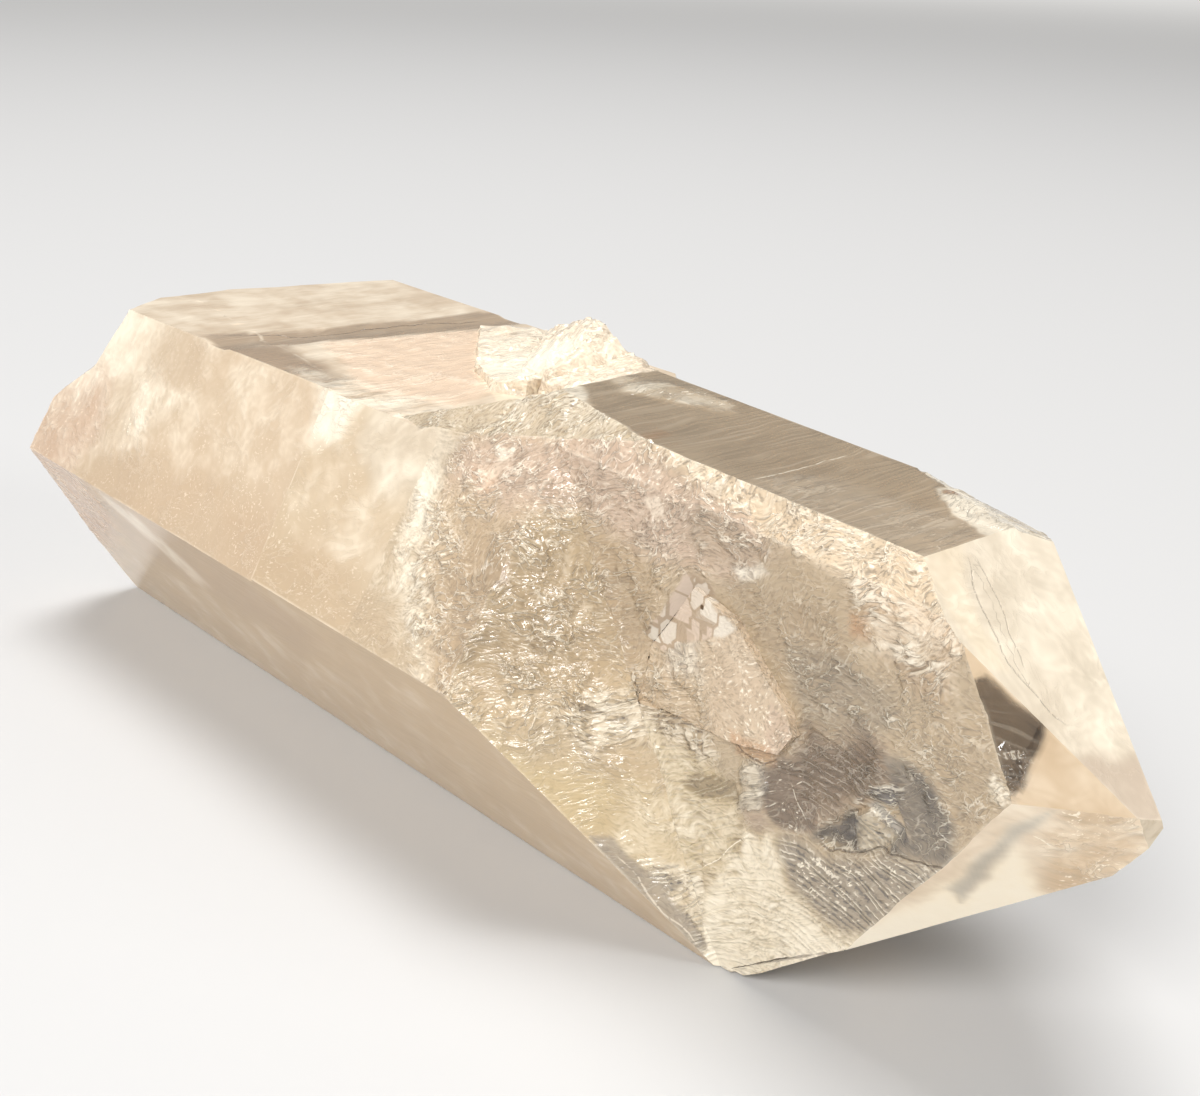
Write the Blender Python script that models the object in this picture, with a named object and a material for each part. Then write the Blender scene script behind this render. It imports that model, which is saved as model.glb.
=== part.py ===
"""Smoky quartz point, 26 cm long, lying on one of its prism faces.

The crystal is one solid.  Its faces are described the way a goniometer gives
them: an azimuth around the long (c) axis, a lean towards the point, and a
distance from the apex.  A prism face leans 0 degrees and a point face leans
38.21 degrees, the fixed angles of quartz.  The convex envelope is cut from a
block, then the ledge, the narrower front part and the notch along the front
edge are taken off it, and the broken surfaces are roughened.

Crystal frame: +X along the c axis towards the point, -Y the front, +Z the
normal of the top prism face, origin at the apex.  World: metres, +Z up.
"""
import math

import bmesh
import bpy
from mathutils import Matrix, Vector, noise

MM = 0.001

# --- angles of quartz and how the crystal lies (degrees) --------------------
POINT_LEAN = 38.21        # a point face leans this far from a prism face
AXIS_DIP = 2.15           # the point dips this far when it rests on its underside

# --- prism faces, distance from the apex (mm) -------------------------------
TOP = 28.4                # upper face of the front part
REAR_TOP = 21.9           # upper face of the rear part, one ledge lower
REAR_TOP_LEAN = -2.1      # it falls a little towards the rear end
FRONT = 23.6              # broad face that slopes to the viewer
LOWER_FRONT = 37.5        # face under the front edge
LOWER_FRONT_LEAN = 1.34   # it tapers a little towards the point
REST = 49.7               # underside, the face that it rests on
BACK_UPPER = 29.2         # upper back face of the front part
REAR_BACK_UPPER = 49.7    # upper back face of the rear part
BACK_LOWER = 37.0         # lower back face of the front part
REAR_BACK_LOWER = 45.0    # lower back face of the rear part
FRONT_STEP = 0.7          # the rear third of the front face lies this much lower
FRONT_STEP_X = -170.0

# --- point faces, distance from the apex (mm) -------------------------------
POINT_FACES = {           # azimuth of the prism face below it: distance
    0: 0.0,
    60: 1.5,
    120: 0.0,
    180: 4.5,
    240: 0.8,
    300: 0.3,
}

# --- broken rear end (mm) ---------------------------------------------------
BREAK_X = -265.4          # rear face of the break
BREAK_CHIN = (-264.6, -47.6)      # x z, where it turns in towards the underside
BREAK_HEEL = (-260.6, -59.6)      # x z, on the underside
BREAK_NOSE = (-265.8, -10.0)      # x z, where it turns in towards the top
BREAK_RIM = (-259.0, 12.4)        # x z, at the rear top
BREAK_CORNER_A = (-257.3, 28.3)   # x y, its back corner falls away on the top
BREAK_CORNER_B = (-252.0, 51.0)
BITE_CORNER = (-255.2, -26.5, -0.1)       # bite out of the corner by the front face
BITE_FLOOR = (-0.463, -0.446, 0.766)      # outward normals of its two sides
BITE_WALL = (-0.78, -0.445, 0.44)

# --- notch along the front edge (mm) ----------------------------------------
NOTCH_Y = -13.9           # its upright wall
NOTCH_REAR = -48.2        # its sloping rear wall, parallel to a point face

# --- ledge between the rear and the front part (mm) -------------------------
LEDGE_X = -119.0          # rear end of the front part's top
LEDGE_HINGE_A = (-118.5, -5.1)    # line from which the ledge slopes down, x y
LEDGE_HINGE_B = (-88.5, -11.0)
LEDGE_FOOT = (-153.0, -17.5)      # where it meets the rear top
LEDGE_DROP = 35.0         # degrees
BACK_RISER = -50.5        # rear wall of the narrower back, parallel to a point face
BACK_RISER_LOWER = -61.0  # the same on the lower back face

# --- plate that stands proud on the notch wall (mm) -------------------------
PLATE_OUTLINE = (         # x z
    (-83.0, -3.0), (-74.0, 10.5), (-65.0, 8.5), (-52.6, -2.0), (-51.2, -5.0),
    (-53.6, -9.0), (-63.5, -11.5), (-84.0, -13.5),
)
PLATE_RISE = 1.4

# --- foot of the notch wall, where it swells below the point face (mm) ------
SWELL = (                 # x y z
    (-40.5, -13.9, -37.6), (-52.5, -13.9, -48.4), (-56.0, -13.9, -51.0),
    (-60.0, -13.9, -51.6), (-62.0, 4.0, -51.6), (-50.0, 4.0, -45.2),
    (-42.0, -2.0, -38.8), (-50.0, -10.0, -30.0),
)

# --- broken stub of a side crystal on the rear top (mm) ---------------------
STUB_FOOT_Z = 8.0
STUB_PARTS = {            # foot x y, then top x y z
    "stub_slab": (
        ((-197.0, 35.7), (-188.0, 47.0), (-165.0, 48.0), (-148.0, 40.0),
         (-147.0, 9.0), (-153.5, 6.0), (-168.5, 12.0)),
        ((-194.5, 36.0, 16.0), (-187.0, 44.5, 16.2), (-167.5, 14.5, 17.4),
         (-154.0, 8.8, 18.0), (-150.0, 30.0, 19.2), (-149.0, 12.0, 18.8)),
    ),
    "stub_peak": (
        ((-184.0, 46.0), (-172.0, 30.0), (-161.0, 15.0), (-152.0, 11.0),
         (-143.0, 13.0), (-139.0, 30.0), (-146.0, 42.0), (-165.0, 47.0)),
        ((-183.0, 45.0, 16.4), (-170.5, 38.0, 21.4), (-163.5, 36.0, 24.0),
         (-156.6, 34.0, 26.6), (-153.5, 33.0, 27.8), (-151.0, 27.5, 26.2),
         (-156.0, 17.0, 19.5), (-148.6, 33.0, 24.7), (-144.1, 34.0, 22.4),
         (-146.0, 16.0, 20.0)),
    ),
    "stub_shoulder": (
        ((-149.0, 12.0), (-148.0, 45.0), (-140.0, 42.0), (-127.0, 26.0),
         (-124.0, 15.0), (-131.0, 10.0)),
        ((-147.0, 35.0, 21.8), (-139.6, 33.0, 23.3), (-135.7, 32.8, 22.2),
         (-126.5, 21.0, 22.6), (-130.5, 13.5, 19.6), (-146.0, 15.0, 19.6)),
    ),
}

# --- small chips (mm) -------------------------------------------------------
TIP_CHIP = 1.3            # cut off the very tip
CORNER_CHIP_A = (-52.0, 14.4)     # line from which the corner chip falls, x y
CORNER_CHIP_B = (-33.6, 8.0)
CORNER_CHIP_DROP = 20.0   # degrees

# --- roughness (mm) ---------------------------------------------------------
BREAK_GRID, BREAK_RELIEF = 5.5, 2.6
NOTCH_GRID, NOTCH_RELIEF = 4.6, 0.55
STUB_GRID, STUB_RELIEF = 4.2, 1.1
LEDGE_GRID, LEDGE_RELIEF = 4.2, 0.5

X_AXIS = Vector((1.0, 0.0, 0.0))
BLOCK = 0.8               # side of the block that bodies are cut from (m)


def face_normal(azimuth, lean=0.0):
    """Outward normal of a crystal face; azimuth 0 is up and 90 is the front."""
    turn, tip = math.radians(azimuth), math.radians(lean)
    side = Vector((0.0, -math.sin(turn), math.cos(turn)))
    return X_AXIS * math.sin(tip) + side * math.cos(tip)


def crystal_plane(azimuth, lean, distance):
    normal = face_normal(azimuth, lean)
    return normal * distance * MM, normal


def point_plane(point, normal):
    return Vector(point) * MM, Vector(normal).normalized()


def convex_mesh(name, planes):
    """Closed convex mesh: a block cut by each (point, outward normal)."""
    bm = bmesh.new()
    bmesh.ops.create_cube(bm, size=BLOCK)
    for point, normal in planes:
        geometry = bm.verts[:] + bm.edges[:] + bm.faces[:]
        cut = bmesh.ops.bisect_plane(
            bm, geom=geometry, plane_co=point, plane_no=normal,
            clear_outer=True, dist=1e-7)
        rim = [item for item in cut["geom_cut"]
               if isinstance(item, bmesh.types.BMEdge)]
        bmesh.ops.holes_fill(bm, edges=rim)
    bmesh.ops.recalc_face_normals(bm, faces=bm.faces)
    mesh = bpy.data.meshes.new(name)
    bm.to_mesh(mesh)
    bm.free()
    return mesh


def hull_mesh(name, points):
    """Closed convex hull of points in mm."""
    bm = bmesh.new()
    for point in points:
        bm.verts.new(Vector(point) * MM)
    hull = bmesh.ops.convex_hull(bm, input=bm.verts)
    spare = {item for item in hull["geom_interior"] + hull["geom_unused"]
             if isinstance(item, bmesh.types.BMVert)}
    bmesh.ops.delete(bm, geom=list(spare), context="VERTS")
    bmesh.ops.recalc_face_normals(bm, faces=bm.faces)
    mesh = bpy.data.meshes.new(name)
    bm.to_mesh(mesh)
    bm.free()
    return mesh


def add_object(name, mesh):
    item = bpy.data.objects.new(name, mesh)
    bpy.context.scene.collection.objects.link(item)
    return item


def add_tool(name, mesh):
    """A cutter or a filler: drawn as wire and left out of the model."""
    item = add_object(name, mesh)
    item.display_type = "WIRE"
    item.hide_render = True
    return item


def combine(body, tool, operation):
    step = body.modifiers.new(tool.name, "BOOLEAN")
    step.solver = "EXACT"
    step.operation = operation
    step.object = tool


def vertical_plane(start, end, keep_left):
    """Upright plane through two x y points, facing right of the way between."""
    along = (Vector(end) - Vector(start)).normalized()
    normal = Vector((along.y, -along.x, 0.0))
    if not keep_left:
        normal.negate()
    return point_plane((start[0], start[1], 0.0), normal)


def cross_plane(low, high):
    """Plane across the crystal through two x z points, facing the rear end."""
    run, rise = high[0] - low[0], high[1] - low[1]
    return point_plane((low[0], 0.0, low[1]), (-rise, 0.0, run))


def falling_plane(start, end, height, drop, backwards):
    """Plane that falls away from a level line, to the back or to the front."""
    along = (Vector(end) - Vector(start)).normalized()
    away = Vector((-along.y, along.x, 0.0))
    if (away.y > 0) != backwards:
        away.negate()
    slope = math.radians(drop)
    normal = away * math.sin(slope) + Vector((0.0, 0.0, math.cos(slope)))
    return point_plane((start[0], start[1], height), normal)


def flipped(plane):
    point, normal = plane
    return point, -normal


def envelope():
    planes = [
        crystal_plane(0, 0, TOP),
        crystal_plane(60, 0, FRONT),
        crystal_plane(120, LOWER_FRONT_LEAN, LOWER_FRONT),
        crystal_plane(180, AXIS_DIP, REST),
        crystal_plane(240, 0, REAR_BACK_LOWER),
        crystal_plane(300, 0, REAR_BACK_UPPER),
    ]
    for azimuth, distance in POINT_FACES.items():
        planes.append(crystal_plane(azimuth, POINT_LEAN, distance))
    planes.append(point_plane((BREAK_X, 0.0, 0.0), (-1.0, 0.0, 0.0)))
    planes.append(cross_plane(BREAK_HEEL, BREAK_CHIN))
    planes.append(cross_plane(BREAK_NOSE, BREAK_RIM))
    corner = vertical_plane(BREAK_CORNER_B, BREAK_CORNER_A, True)
    planes.append((corner[0], (corner[1] + Vector((0.0, 0.0, 0.2))).normalized()))
    planes.append(falling_plane(
        CORNER_CHIP_A, CORNER_CHIP_B, TOP, CORNER_CHIP_DROP, True))
    chip = Vector((1.0, -0.35, -0.15)).normalized()
    planes.append((chip * -TIP_CHIP * MM, chip))
    return convex_mesh("envelope", planes)


def bite_cutter():
    """Takes the bite out of the broken end's upper front corner."""
    return convex_mesh("bite", [
        flipped(point_plane(BITE_CORNER, BITE_FLOOR)),
        flipped(point_plane(BITE_CORNER, BITE_WALL)),
    ])


def rear_top_plane():
    return crystal_plane(0, REAR_TOP_LEAN, REAR_TOP)


def ledge_plane():
    return falling_plane(LEDGE_HINGE_A, LEDGE_HINGE_B, TOP, LEDGE_DROP, False)


def ledge_cutter():
    """Takes the slope in front of the ledge down to the rear top."""
    return convex_mesh("ledge_slope", [
        flipped(rear_top_plane()),
        flipped(ledge_plane()),
    ])


def rear_top_cutter():
    """Takes the rear top down behind the ledge's upright back."""
    return convex_mesh("rear_top", [
        flipped(rear_top_plane()),
        vertical_plane(LEDGE_FOOT, LEDGE_HINGE_A, True),
        point_plane((LEDGE_X, 0.0, 0.0), (1.0, 0.0, 0.0)),
    ])


def narrow_back_cutter():
    """Takes the back of the front part in to its own upper back face."""
    return convex_mesh("narrow_back", [
        flipped(crystal_plane(300, 0, BACK_UPPER)),
        flipped(crystal_plane(300, POINT_LEAN, BACK_RISER)),
    ])


def narrow_back_lower_cutter():
    """Takes the back of the front part in to its own lower back face."""
    return convex_mesh("narrow_back_lower", [
        flipped(crystal_plane(240, 0, BACK_LOWER)),
        flipped(crystal_plane(240, POINT_LEAN, BACK_RISER_LOWER)),
    ])


def notch_cutter():
    """Wedge that takes the front edge off the front part."""
    return convex_mesh("notch", [
        point_plane((0.0, NOTCH_Y, 0.0), (0.0, 1.0, 0.0)),
        flipped(crystal_plane(60, POINT_LEAN, NOTCH_REAR)),
    ])


def front_step_cutter():
    """Growth step across the front face."""
    return convex_mesh("front_step", [
        flipped(crystal_plane(60, 0, FRONT - FRONT_STEP)),
        point_plane((FRONT_STEP_X, 0.0, 0.0), (1.0, 0.0, 0.10)),
    ])


def plate_filler():
    points = []
    for x, z in PLATE_OUTLINE:
        points.append((x, NOTCH_Y - PLATE_RISE, z))
        points.append((x, NOTCH_Y + 4.0, z))
    return hull_mesh("plate", points)


def stub_fillers():
    bodies = []
    for name, (foot, top) in STUB_PARTS.items():
        points = [(x, y, STUB_FOOT_Z) for x, y in foot]
        points.extend(top)
        bodies.append(hull_mesh(name, points))
    return bodies


def on_plane(face, plane, tolerance=2e-5):
    point, normal = plane
    if face.normal.dot(normal) < 0.999:
        return False
    return all(abs((v.co - point).dot(normal)) < tolerance for v in face.verts)


def slice_faces(bm, belongs, direction, spacing):
    """Cuts the chosen faces along parallel planes, a spacing (mm) apart."""
    chosen = [face for face in bm.faces if belongs(face)]
    reach = [v.co.dot(direction) for face in chosen for v in face.verts]
    low, high = min(reach), max(reach)
    count = max(1, round((high - low) / (spacing * MM)))
    for step in range(1, count):
        chosen = [face for face in bm.faces if belongs(face)]
        edges = {edge for face in chosen for edge in face.edges}
        verts = {vert for face in chosen for vert in face.verts}
        level = low + (high - low) * step / count
        bmesh.ops.bisect_plane(
            bm, geom=list(verts) + list(edges) + chosen, dist=1e-6,
            plane_co=direction * level, plane_no=direction)


def relief(place, size, seed):
    """Smooth uneven height between about -1 and 1, for features of size mm."""
    spot = place / (size * MM) + Vector((seed, seed * 0.37, seed * 0.71))
    return noise.noise(spot) + 0.5 * noise.noise(spot * 2.3)


def roughen(bm, belongs, direction, height, size, seed, rim_share=0.0):
    """Moves the chosen faces' points along a direction by uneven heights."""
    bm.normal_update()
    free, rim = [], []
    for vert in bm.verts:
        inside = [belongs(face) for face in vert.link_faces]
        if all(inside) or (rim_share and any(inside)):
            free.append(vert)
        if any(inside) and not all(inside):
            rim.append(vert.co.copy())
    moves = []
    for vert in free:
        gap = min([(vert.co - spot).length for spot in rim] + [1.0])
        fade = rim_share + (1.0 - rim_share) * min(1.0, gap / (0.6 * size * MM))
        way = direction if direction is not None else vert.normal
        moves.append(way * relief(vert.co, size, seed) * height * fade * MM)
    for vert, move in zip(free, moves):
        vert.co += move


def is_break(face):
    return face.normal.x < -0.5 and face.calc_center_median().x < -225 * MM


def is_stub(face):
    """The stub's own faces: above the rear top, between its two ends."""
    spot = face.calc_center_median()
    point, normal = rear_top_plane()
    level = face.normal.dot(normal) > 0.99995 or abs(face.normal.x) > 0.9999
    inside = -198.0 * MM < spot.x < -118.0 * MM and spot.y > 5.0 * MM
    return inside and (spot - point).dot(normal) > 0.05 * MM and not level


def sharpen_breaks(mesh):
    """Slices the broken and etched surfaces finely and makes them uneven."""
    bm = bmesh.new()
    bm.from_mesh(mesh)
    bmesh.ops.dissolve_limit(
        bm, angle_limit=0.0005, verts=bm.verts, edges=bm.edges)
    along_rest = Vector((math.cos(math.radians(AXIS_DIP)), 0.0,
                         math.sin(math.radians(AXIS_DIP))))
    upright = Vector((0.0, 0.0, 1.0))
    across = Vector((0.0, 1.0, 0.0))
    wall = point_plane((0.0, NOTCH_Y, 0.0), (0.0, -1.0, 0.0))
    plate = point_plane((0.0, NOTCH_Y - PLATE_RISE, 0.0), (0.0, -1.0, 0.0))
    rear_wall = crystal_plane(60, POINT_LEAN, NOTCH_REAR)
    ledge = ledge_plane()

    def is_wall(face):
        return on_plane(face, wall)

    def is_plate(face):
        return on_plane(face, plate)

    def is_rear_wall(face):
        return on_plane(face, rear_wall)

    def is_ledge(face):
        return on_plane(face, ledge)

    slice_faces(bm, is_break, upright, BREAK_GRID)
    slice_faces(bm, is_break, across, BREAK_GRID)
    slice_faces(bm, is_wall, upright, NOTCH_GRID)
    slice_faces(bm, is_wall, X_AXIS, NOTCH_GRID)
    slice_faces(bm, is_plate, X_AXIS, NOTCH_GRID)
    slice_faces(bm, is_plate, upright, NOTCH_GRID)
    slice_faces(bm, is_rear_wall, upright, NOTCH_GRID)
    slice_faces(bm, is_rear_wall, across, NOTCH_GRID)
    slice_faces(bm, is_ledge, X_AXIS, LEDGE_GRID)
    slice_faces(bm, is_ledge, across, LEDGE_GRID)
    slice_faces(bm, is_stub, X_AXIS, STUB_GRID)
    slice_faces(bm, is_stub, across, STUB_GRID)

    chosen = {}
    for name, test in (("wall", is_wall), ("plate", is_plate),
                       ("rear_wall", is_rear_wall), ("ledge", is_ledge),
                       ("stub", is_stub), ("break", is_break)):
        chosen[name] = {face for face in bm.faces if test(face)}
    roughen(bm, chosen["wall"].__contains__, wall[1], NOTCH_RELIEF, 13.0, 3.1)
    roughen(bm, chosen["plate"].__contains__, wall[1], NOTCH_RELIEF, 9.0, 5.2)
    roughen(bm, chosen["rear_wall"].__contains__, rear_wall[1],
            NOTCH_RELIEF, 10.0, 8.4)
    roughen(bm, chosen["ledge"].__contains__, ledge[1], LEDGE_RELIEF, 7.0, 1.7)
    roughen(bm, chosen["stub"].__contains__, None, STUB_RELIEF, 8.0, 6.6)
    roughen(bm, chosen["break"].__contains__, -along_rest, BREAK_RELIEF,
            17.0, 2.5, rim_share=0.2)
    bmesh.ops.triangulate(bm, faces=bm.faces)
    bm.to_mesh(mesh)
    bm.free()


def baked_mesh(item):
    graph = bpy.context.evaluated_depsgraph_get()
    return bpy.data.meshes.new_from_object(item.evaluated_get(graph))


def lay_down(mesh):
    """Turns the underside level and puts the box's bottom centre at 0, 0, 0."""
    mesh.transform(Matrix.Rotation(math.radians(AXIS_DIP), 4, "Y"))
    xs = [v.co.x for v in mesh.vertices]
    ys = [v.co.y for v in mesh.vertices]
    middle = Vector(((min(xs) + max(xs)) / 2, (min(ys) + max(ys)) / 2, -REST * MM))
    mesh.transform(Matrix.Translation(-middle))


def quartz_material():
    material = bpy.data.materials.new("smoky_quartz")
    material.use_nodes = True
    shader = material.node_tree.nodes["Principled BSDF"]
    shader.inputs["Base Color"].default_value = (0.72, 0.58, 0.42, 1.0)
    shader.inputs["Roughness"].default_value = 0.18
    shader.inputs["IOR"].default_value = 1.544
    shader.inputs["Metallic"].default_value = 0.0
    material.diffuse_color = (0.72, 0.58, 0.42, 1.0)
    return material


def build_quartz_point():
    body = add_object("envelope", envelope())
    cutters = (
        front_step_cutter(), ledge_cutter(), rear_top_cutter(),
        narrow_back_cutter(), narrow_back_lower_cutter(), notch_cutter(),
        bite_cutter(),
    )
    for mesh in cutters:
        combine(body, add_tool(mesh.name, mesh), "DIFFERENCE")
    fillers = [plate_filler(), hull_mesh("swell", SWELL)] + stub_fillers()
    for mesh in fillers:
        combine(body, add_tool(mesh.name, mesh), "UNION")
    mesh = baked_mesh(body)
    bpy.data.objects.remove(body)
    sharpen_breaks(mesh)
    lay_down(mesh)
    mesh.name = "quartz_point"
    mesh.materials.clear()
    mesh.materials.append(quartz_material())
    return add_object("quartz_point", mesh)


def clear_scene():
    for item in list(bpy.data.objects):
        bpy.data.objects.remove(item)


clear_scene()
build_quartz_point()
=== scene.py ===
"""Looks of a smoky quartz point that lies on one of its prism faces.

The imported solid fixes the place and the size.  The visible crystal is made here from the same
faces, in mm in the crystal's own frame: +X along the long (c) axis towards the point, -Y the
front, +Z the normal of the top face, origin at the apex.  Every face is cut into a fine grid,
each gets its own relief and its own shares of milk, smoke, tan and frost, and the whole is laid
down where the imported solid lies.
"""
import math

import bmesh
import bpy
import numpy as np
from mathutils import Matrix, Vector
from mathutils.kdtree import KDTree


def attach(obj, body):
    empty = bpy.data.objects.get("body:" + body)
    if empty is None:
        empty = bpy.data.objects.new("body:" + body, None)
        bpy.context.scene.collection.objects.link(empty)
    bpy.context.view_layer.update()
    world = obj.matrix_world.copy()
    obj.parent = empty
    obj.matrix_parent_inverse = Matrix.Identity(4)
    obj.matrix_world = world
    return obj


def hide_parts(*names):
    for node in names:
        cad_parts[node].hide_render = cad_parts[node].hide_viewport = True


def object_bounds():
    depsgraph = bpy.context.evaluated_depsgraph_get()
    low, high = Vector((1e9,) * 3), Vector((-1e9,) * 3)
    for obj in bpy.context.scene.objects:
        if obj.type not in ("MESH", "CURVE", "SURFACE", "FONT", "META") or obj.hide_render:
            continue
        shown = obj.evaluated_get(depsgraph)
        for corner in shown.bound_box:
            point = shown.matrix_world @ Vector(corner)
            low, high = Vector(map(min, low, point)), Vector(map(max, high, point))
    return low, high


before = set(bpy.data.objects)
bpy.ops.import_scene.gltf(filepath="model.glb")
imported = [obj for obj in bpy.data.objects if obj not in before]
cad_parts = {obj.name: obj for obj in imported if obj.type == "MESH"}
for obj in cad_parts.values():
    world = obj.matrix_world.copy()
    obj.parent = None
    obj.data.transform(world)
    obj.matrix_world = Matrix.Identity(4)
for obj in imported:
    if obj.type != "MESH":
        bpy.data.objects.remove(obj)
cad_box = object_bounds()

# --- how the crystal lies ----------------------------------------------------
MM = 0.001
POINT_LEAN = 38.21                # degrees that a point face leans from a prism face
AXIS_DIP = 2.15                   # degrees that the point dips
BOX_MIDDLE = Vector((-134.41, 8.10, -49.70))    # of the dipped crystal, at the floor

# --- faces: azimuth around the long axis, lean, distance from the apex (mm) ---
FACE = {
    "top": (0, 0, 28.4),
    "rear_top": (0, -2.1, 21.9),
    "front": (60, 0, 23.6),
    "front_rear": (60, 0, 22.9),
    "lower_front": (120, 1.34, 37.5),
    "rest": (180, AXIS_DIP, 49.7),
    "back_lower": (240, 0, 45.0),
    "back_lower_front": (240, 0, 37.0),
    "back_upper": (300, 0, 49.7),
    "back_upper_front": (300, 0, 29.2),
    "point_top": (0, POINT_LEAN, 0.0),
    "point_front": (60, POINT_LEAN, 1.5),
    "point_lower": (120, POINT_LEAN, 0.0),
    "point_under": (180, POINT_LEAN, 4.5),
    "point_back_lower": (240, POINT_LEAN, 0.8),
    "point_back_upper": (300, POINT_LEAN, 0.3),
    "notch_rear": (60, POINT_LEAN, -48.2),
    "riser_upper": (300, POINT_LEAN, -50.5),
    "riser_lower": (240, POINT_LEAN, -61.0),
}
CONVEX = (
    "top", "front", "lower_front", "rest", "back_lower", "back_upper", "point_top",
    "point_front", "point_lower", "point_under", "point_back_lower", "point_back_upper",
)

# --- places on the crystal (mm) ----------------------------------------------
NOTCH_Y = -13.9
PLATE_RISE = 1.4
PLATE_ROOT = 4.0                  # how far the plate's body reaches into the crystal
FRONT_STEP_X = -170.0
FRONT_STEP_SLOPE = 0.10
LEDGE_X = -119.0
LEDGE_HINGE_A = (-118.5, -5.1)
LEDGE_HINGE_B = (-88.5, -11.0)
LEDGE_FOOT = (-153.0, -17.5)
LEDGE_DROP = 35.0
CORNER_CHIP_A = (-52.0, 14.4)
CORNER_CHIP_B = (-33.6, 8.0)
CORNER_CHIP_DROP = 20.0
TIP_CHIP = 1.3
BREAK_X = -265.4
BREAK_CHIN = (-264.6, -47.6)
BREAK_HEEL = (-260.6, -59.6)
BREAK_NOSE = (-265.8, -10.0)
BREAK_RIM = (-259.0, 12.4)
BREAK_CORNER = (-257.3, 28.3, 0.0)
BREAK_CORNER_WAY = (-0.953, 0.2224, 0.2)
BITE_CORNER = (-255.2, -26.5, -0.1)
BITE_FLOOR = (-0.463, -0.446, 0.766)
BITE_WALL = (-0.78, -0.445, 0.44)
PLATE_OUTLINE = (
    (-83.0, -3.0), (-74.0, 10.5), (-65.0, 8.5), (-52.6, -2.0), (-51.2, -5.0),
    (-53.6, -9.0), (-63.5, -11.5), (-84.0, -13.5),
)
SWELL = (
    (-40.5, -13.9, -37.6), (-52.5, -13.9, -48.4), (-56.0, -13.9, -51.0),
    (-60.0, -13.9, -51.6), (-62.0, 4.0, -51.6), (-50.0, 4.0, -45.2),
    (-42.0, -2.0, -38.8), (-50.0, -10.0, -30.0),
)
STUB_FOOT_Z = 8.0
STUB_PARTS = {
    "stub_slab": (
        ((-197.0, 35.7), (-188.0, 47.0), (-165.0, 48.0), (-148.0, 40.0),
         (-147.0, 9.0), (-153.5, 6.0), (-168.5, 12.0)),
        ((-194.5, 36.0, 16.0), (-187.0, 44.5, 16.2), (-167.5, 14.5, 17.4),
         (-154.0, 8.8, 18.0), (-150.0, 30.0, 19.2), (-149.0, 12.0, 18.8)),
    ),
    "stub_peak": (
        ((-184.0, 46.0), (-172.0, 30.0), (-161.0, 15.0), (-152.0, 11.0),
         (-143.0, 13.0), (-139.0, 30.0), (-146.0, 42.0), (-165.0, 47.0)),
        ((-183.0, 45.0, 16.4), (-170.5, 38.0, 21.4), (-163.5, 36.0, 24.0),
         (-156.6, 34.0, 26.6), (-153.5, 33.0, 27.8), (-151.0, 27.5, 26.2),
         (-156.0, 17.0, 19.5), (-148.6, 33.0, 24.7), (-144.1, 34.0, 22.4),
         (-146.0, 16.0, 20.0)),
    ),
    "stub_shoulder": (
        ((-149.0, 12.0), (-148.0, 45.0), (-140.0, 42.0), (-127.0, 26.0),
         (-124.0, 15.0), (-131.0, 10.0)),
        ((-147.0, 35.0, 21.8), (-139.6, 33.0, 23.3), (-135.7, 32.8, 22.2),
         (-126.5, 21.0, 22.6), (-130.5, 13.5, 19.6), (-146.0, 15.0, 19.6)),
    ),
}

# --- grid of each surface (mm), and the surfaces whose grid is halved once more --
GRID = {
    "wall": 0.9, "notch_rear": 0.9, "plate": 0.9, "plate_side": 0.8, "front": 1.1,
    "ledge": 1.0, "stub": 1.0, "point_front": 1.0, "point_lower": 1.1, "top": 1.3,
    "point_top": 1.2, "chip": 1.0, "break": 1.5, "rear_top": 2.0, "front_rear": 2.2,
    "lower_front": 2.4, "back_upper": 4.0, "back_lower": 4.5, "back_upper_front": 3.5,
    "back_lower_front": 4.0, "riser_upper": 3.0, "riser_lower": 3.0, "point_under": 2.0,
    "point_back_lower": 2.5, "point_back_upper": 2.2,
}
HALVED = ("wall", "notch_rear", "plate", "plate_side", "ledge", "point_front",
          "point_lower", "point_top", "front", "chip", "stub")
HALVED_FROM_X = -137.0
HALVED_STUB_X = -175.0

X_AXIS = Vector((1.0, 0.0, 0.0))
Z_AXIS = Vector((0.0, 0.0, 1.0))
BLOCK = 800.0            # mm, what the crystal is cut from
CUT_GAP = 1e-4           # mm, nearer points are the same
FLAT_ANGLE = 0.0005      # radians; faces that differ less become one


# ---- Planes and bodies -------------------------------------------
def face_normal(azimuth, lean=0.0):
    """Outward normal of a crystal face; azimuth 0 is up and 90 is the front."""
    turn, tip = math.radians(azimuth), math.radians(lean)
    side = Vector((0.0, -math.sin(turn), math.cos(turn)))
    return X_AXIS * math.sin(tip) + side * math.cos(tip)


def face_plane(name):
    azimuth, lean, distance = FACE[name]
    normal = face_normal(azimuth, lean)
    return normal * distance, normal


def point_plane(point, normal):
    return Vector(point), Vector(normal).normalized()


def flipped(plane):
    return plane[0], -plane[1]


def behind(name):
    """A face's plane, to keep what lies outside it."""
    return flipped(face_plane(name))


def vertical_plane(start, end):
    """Upright plane through two x y points, facing right of the way between."""
    along = (Vector(end) - Vector(start)).normalized()
    return point_plane((start[0], start[1], 0.0), (along.y, -along.x, 0.0))


def cross_plane(low, high):
    """Plane across the crystal through two x z points, facing the rear end."""
    run, rise = high[0] - low[0], high[1] - low[1]
    return point_plane((low[0], 0.0, low[1]), (-rise, 0.0, run))


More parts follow.
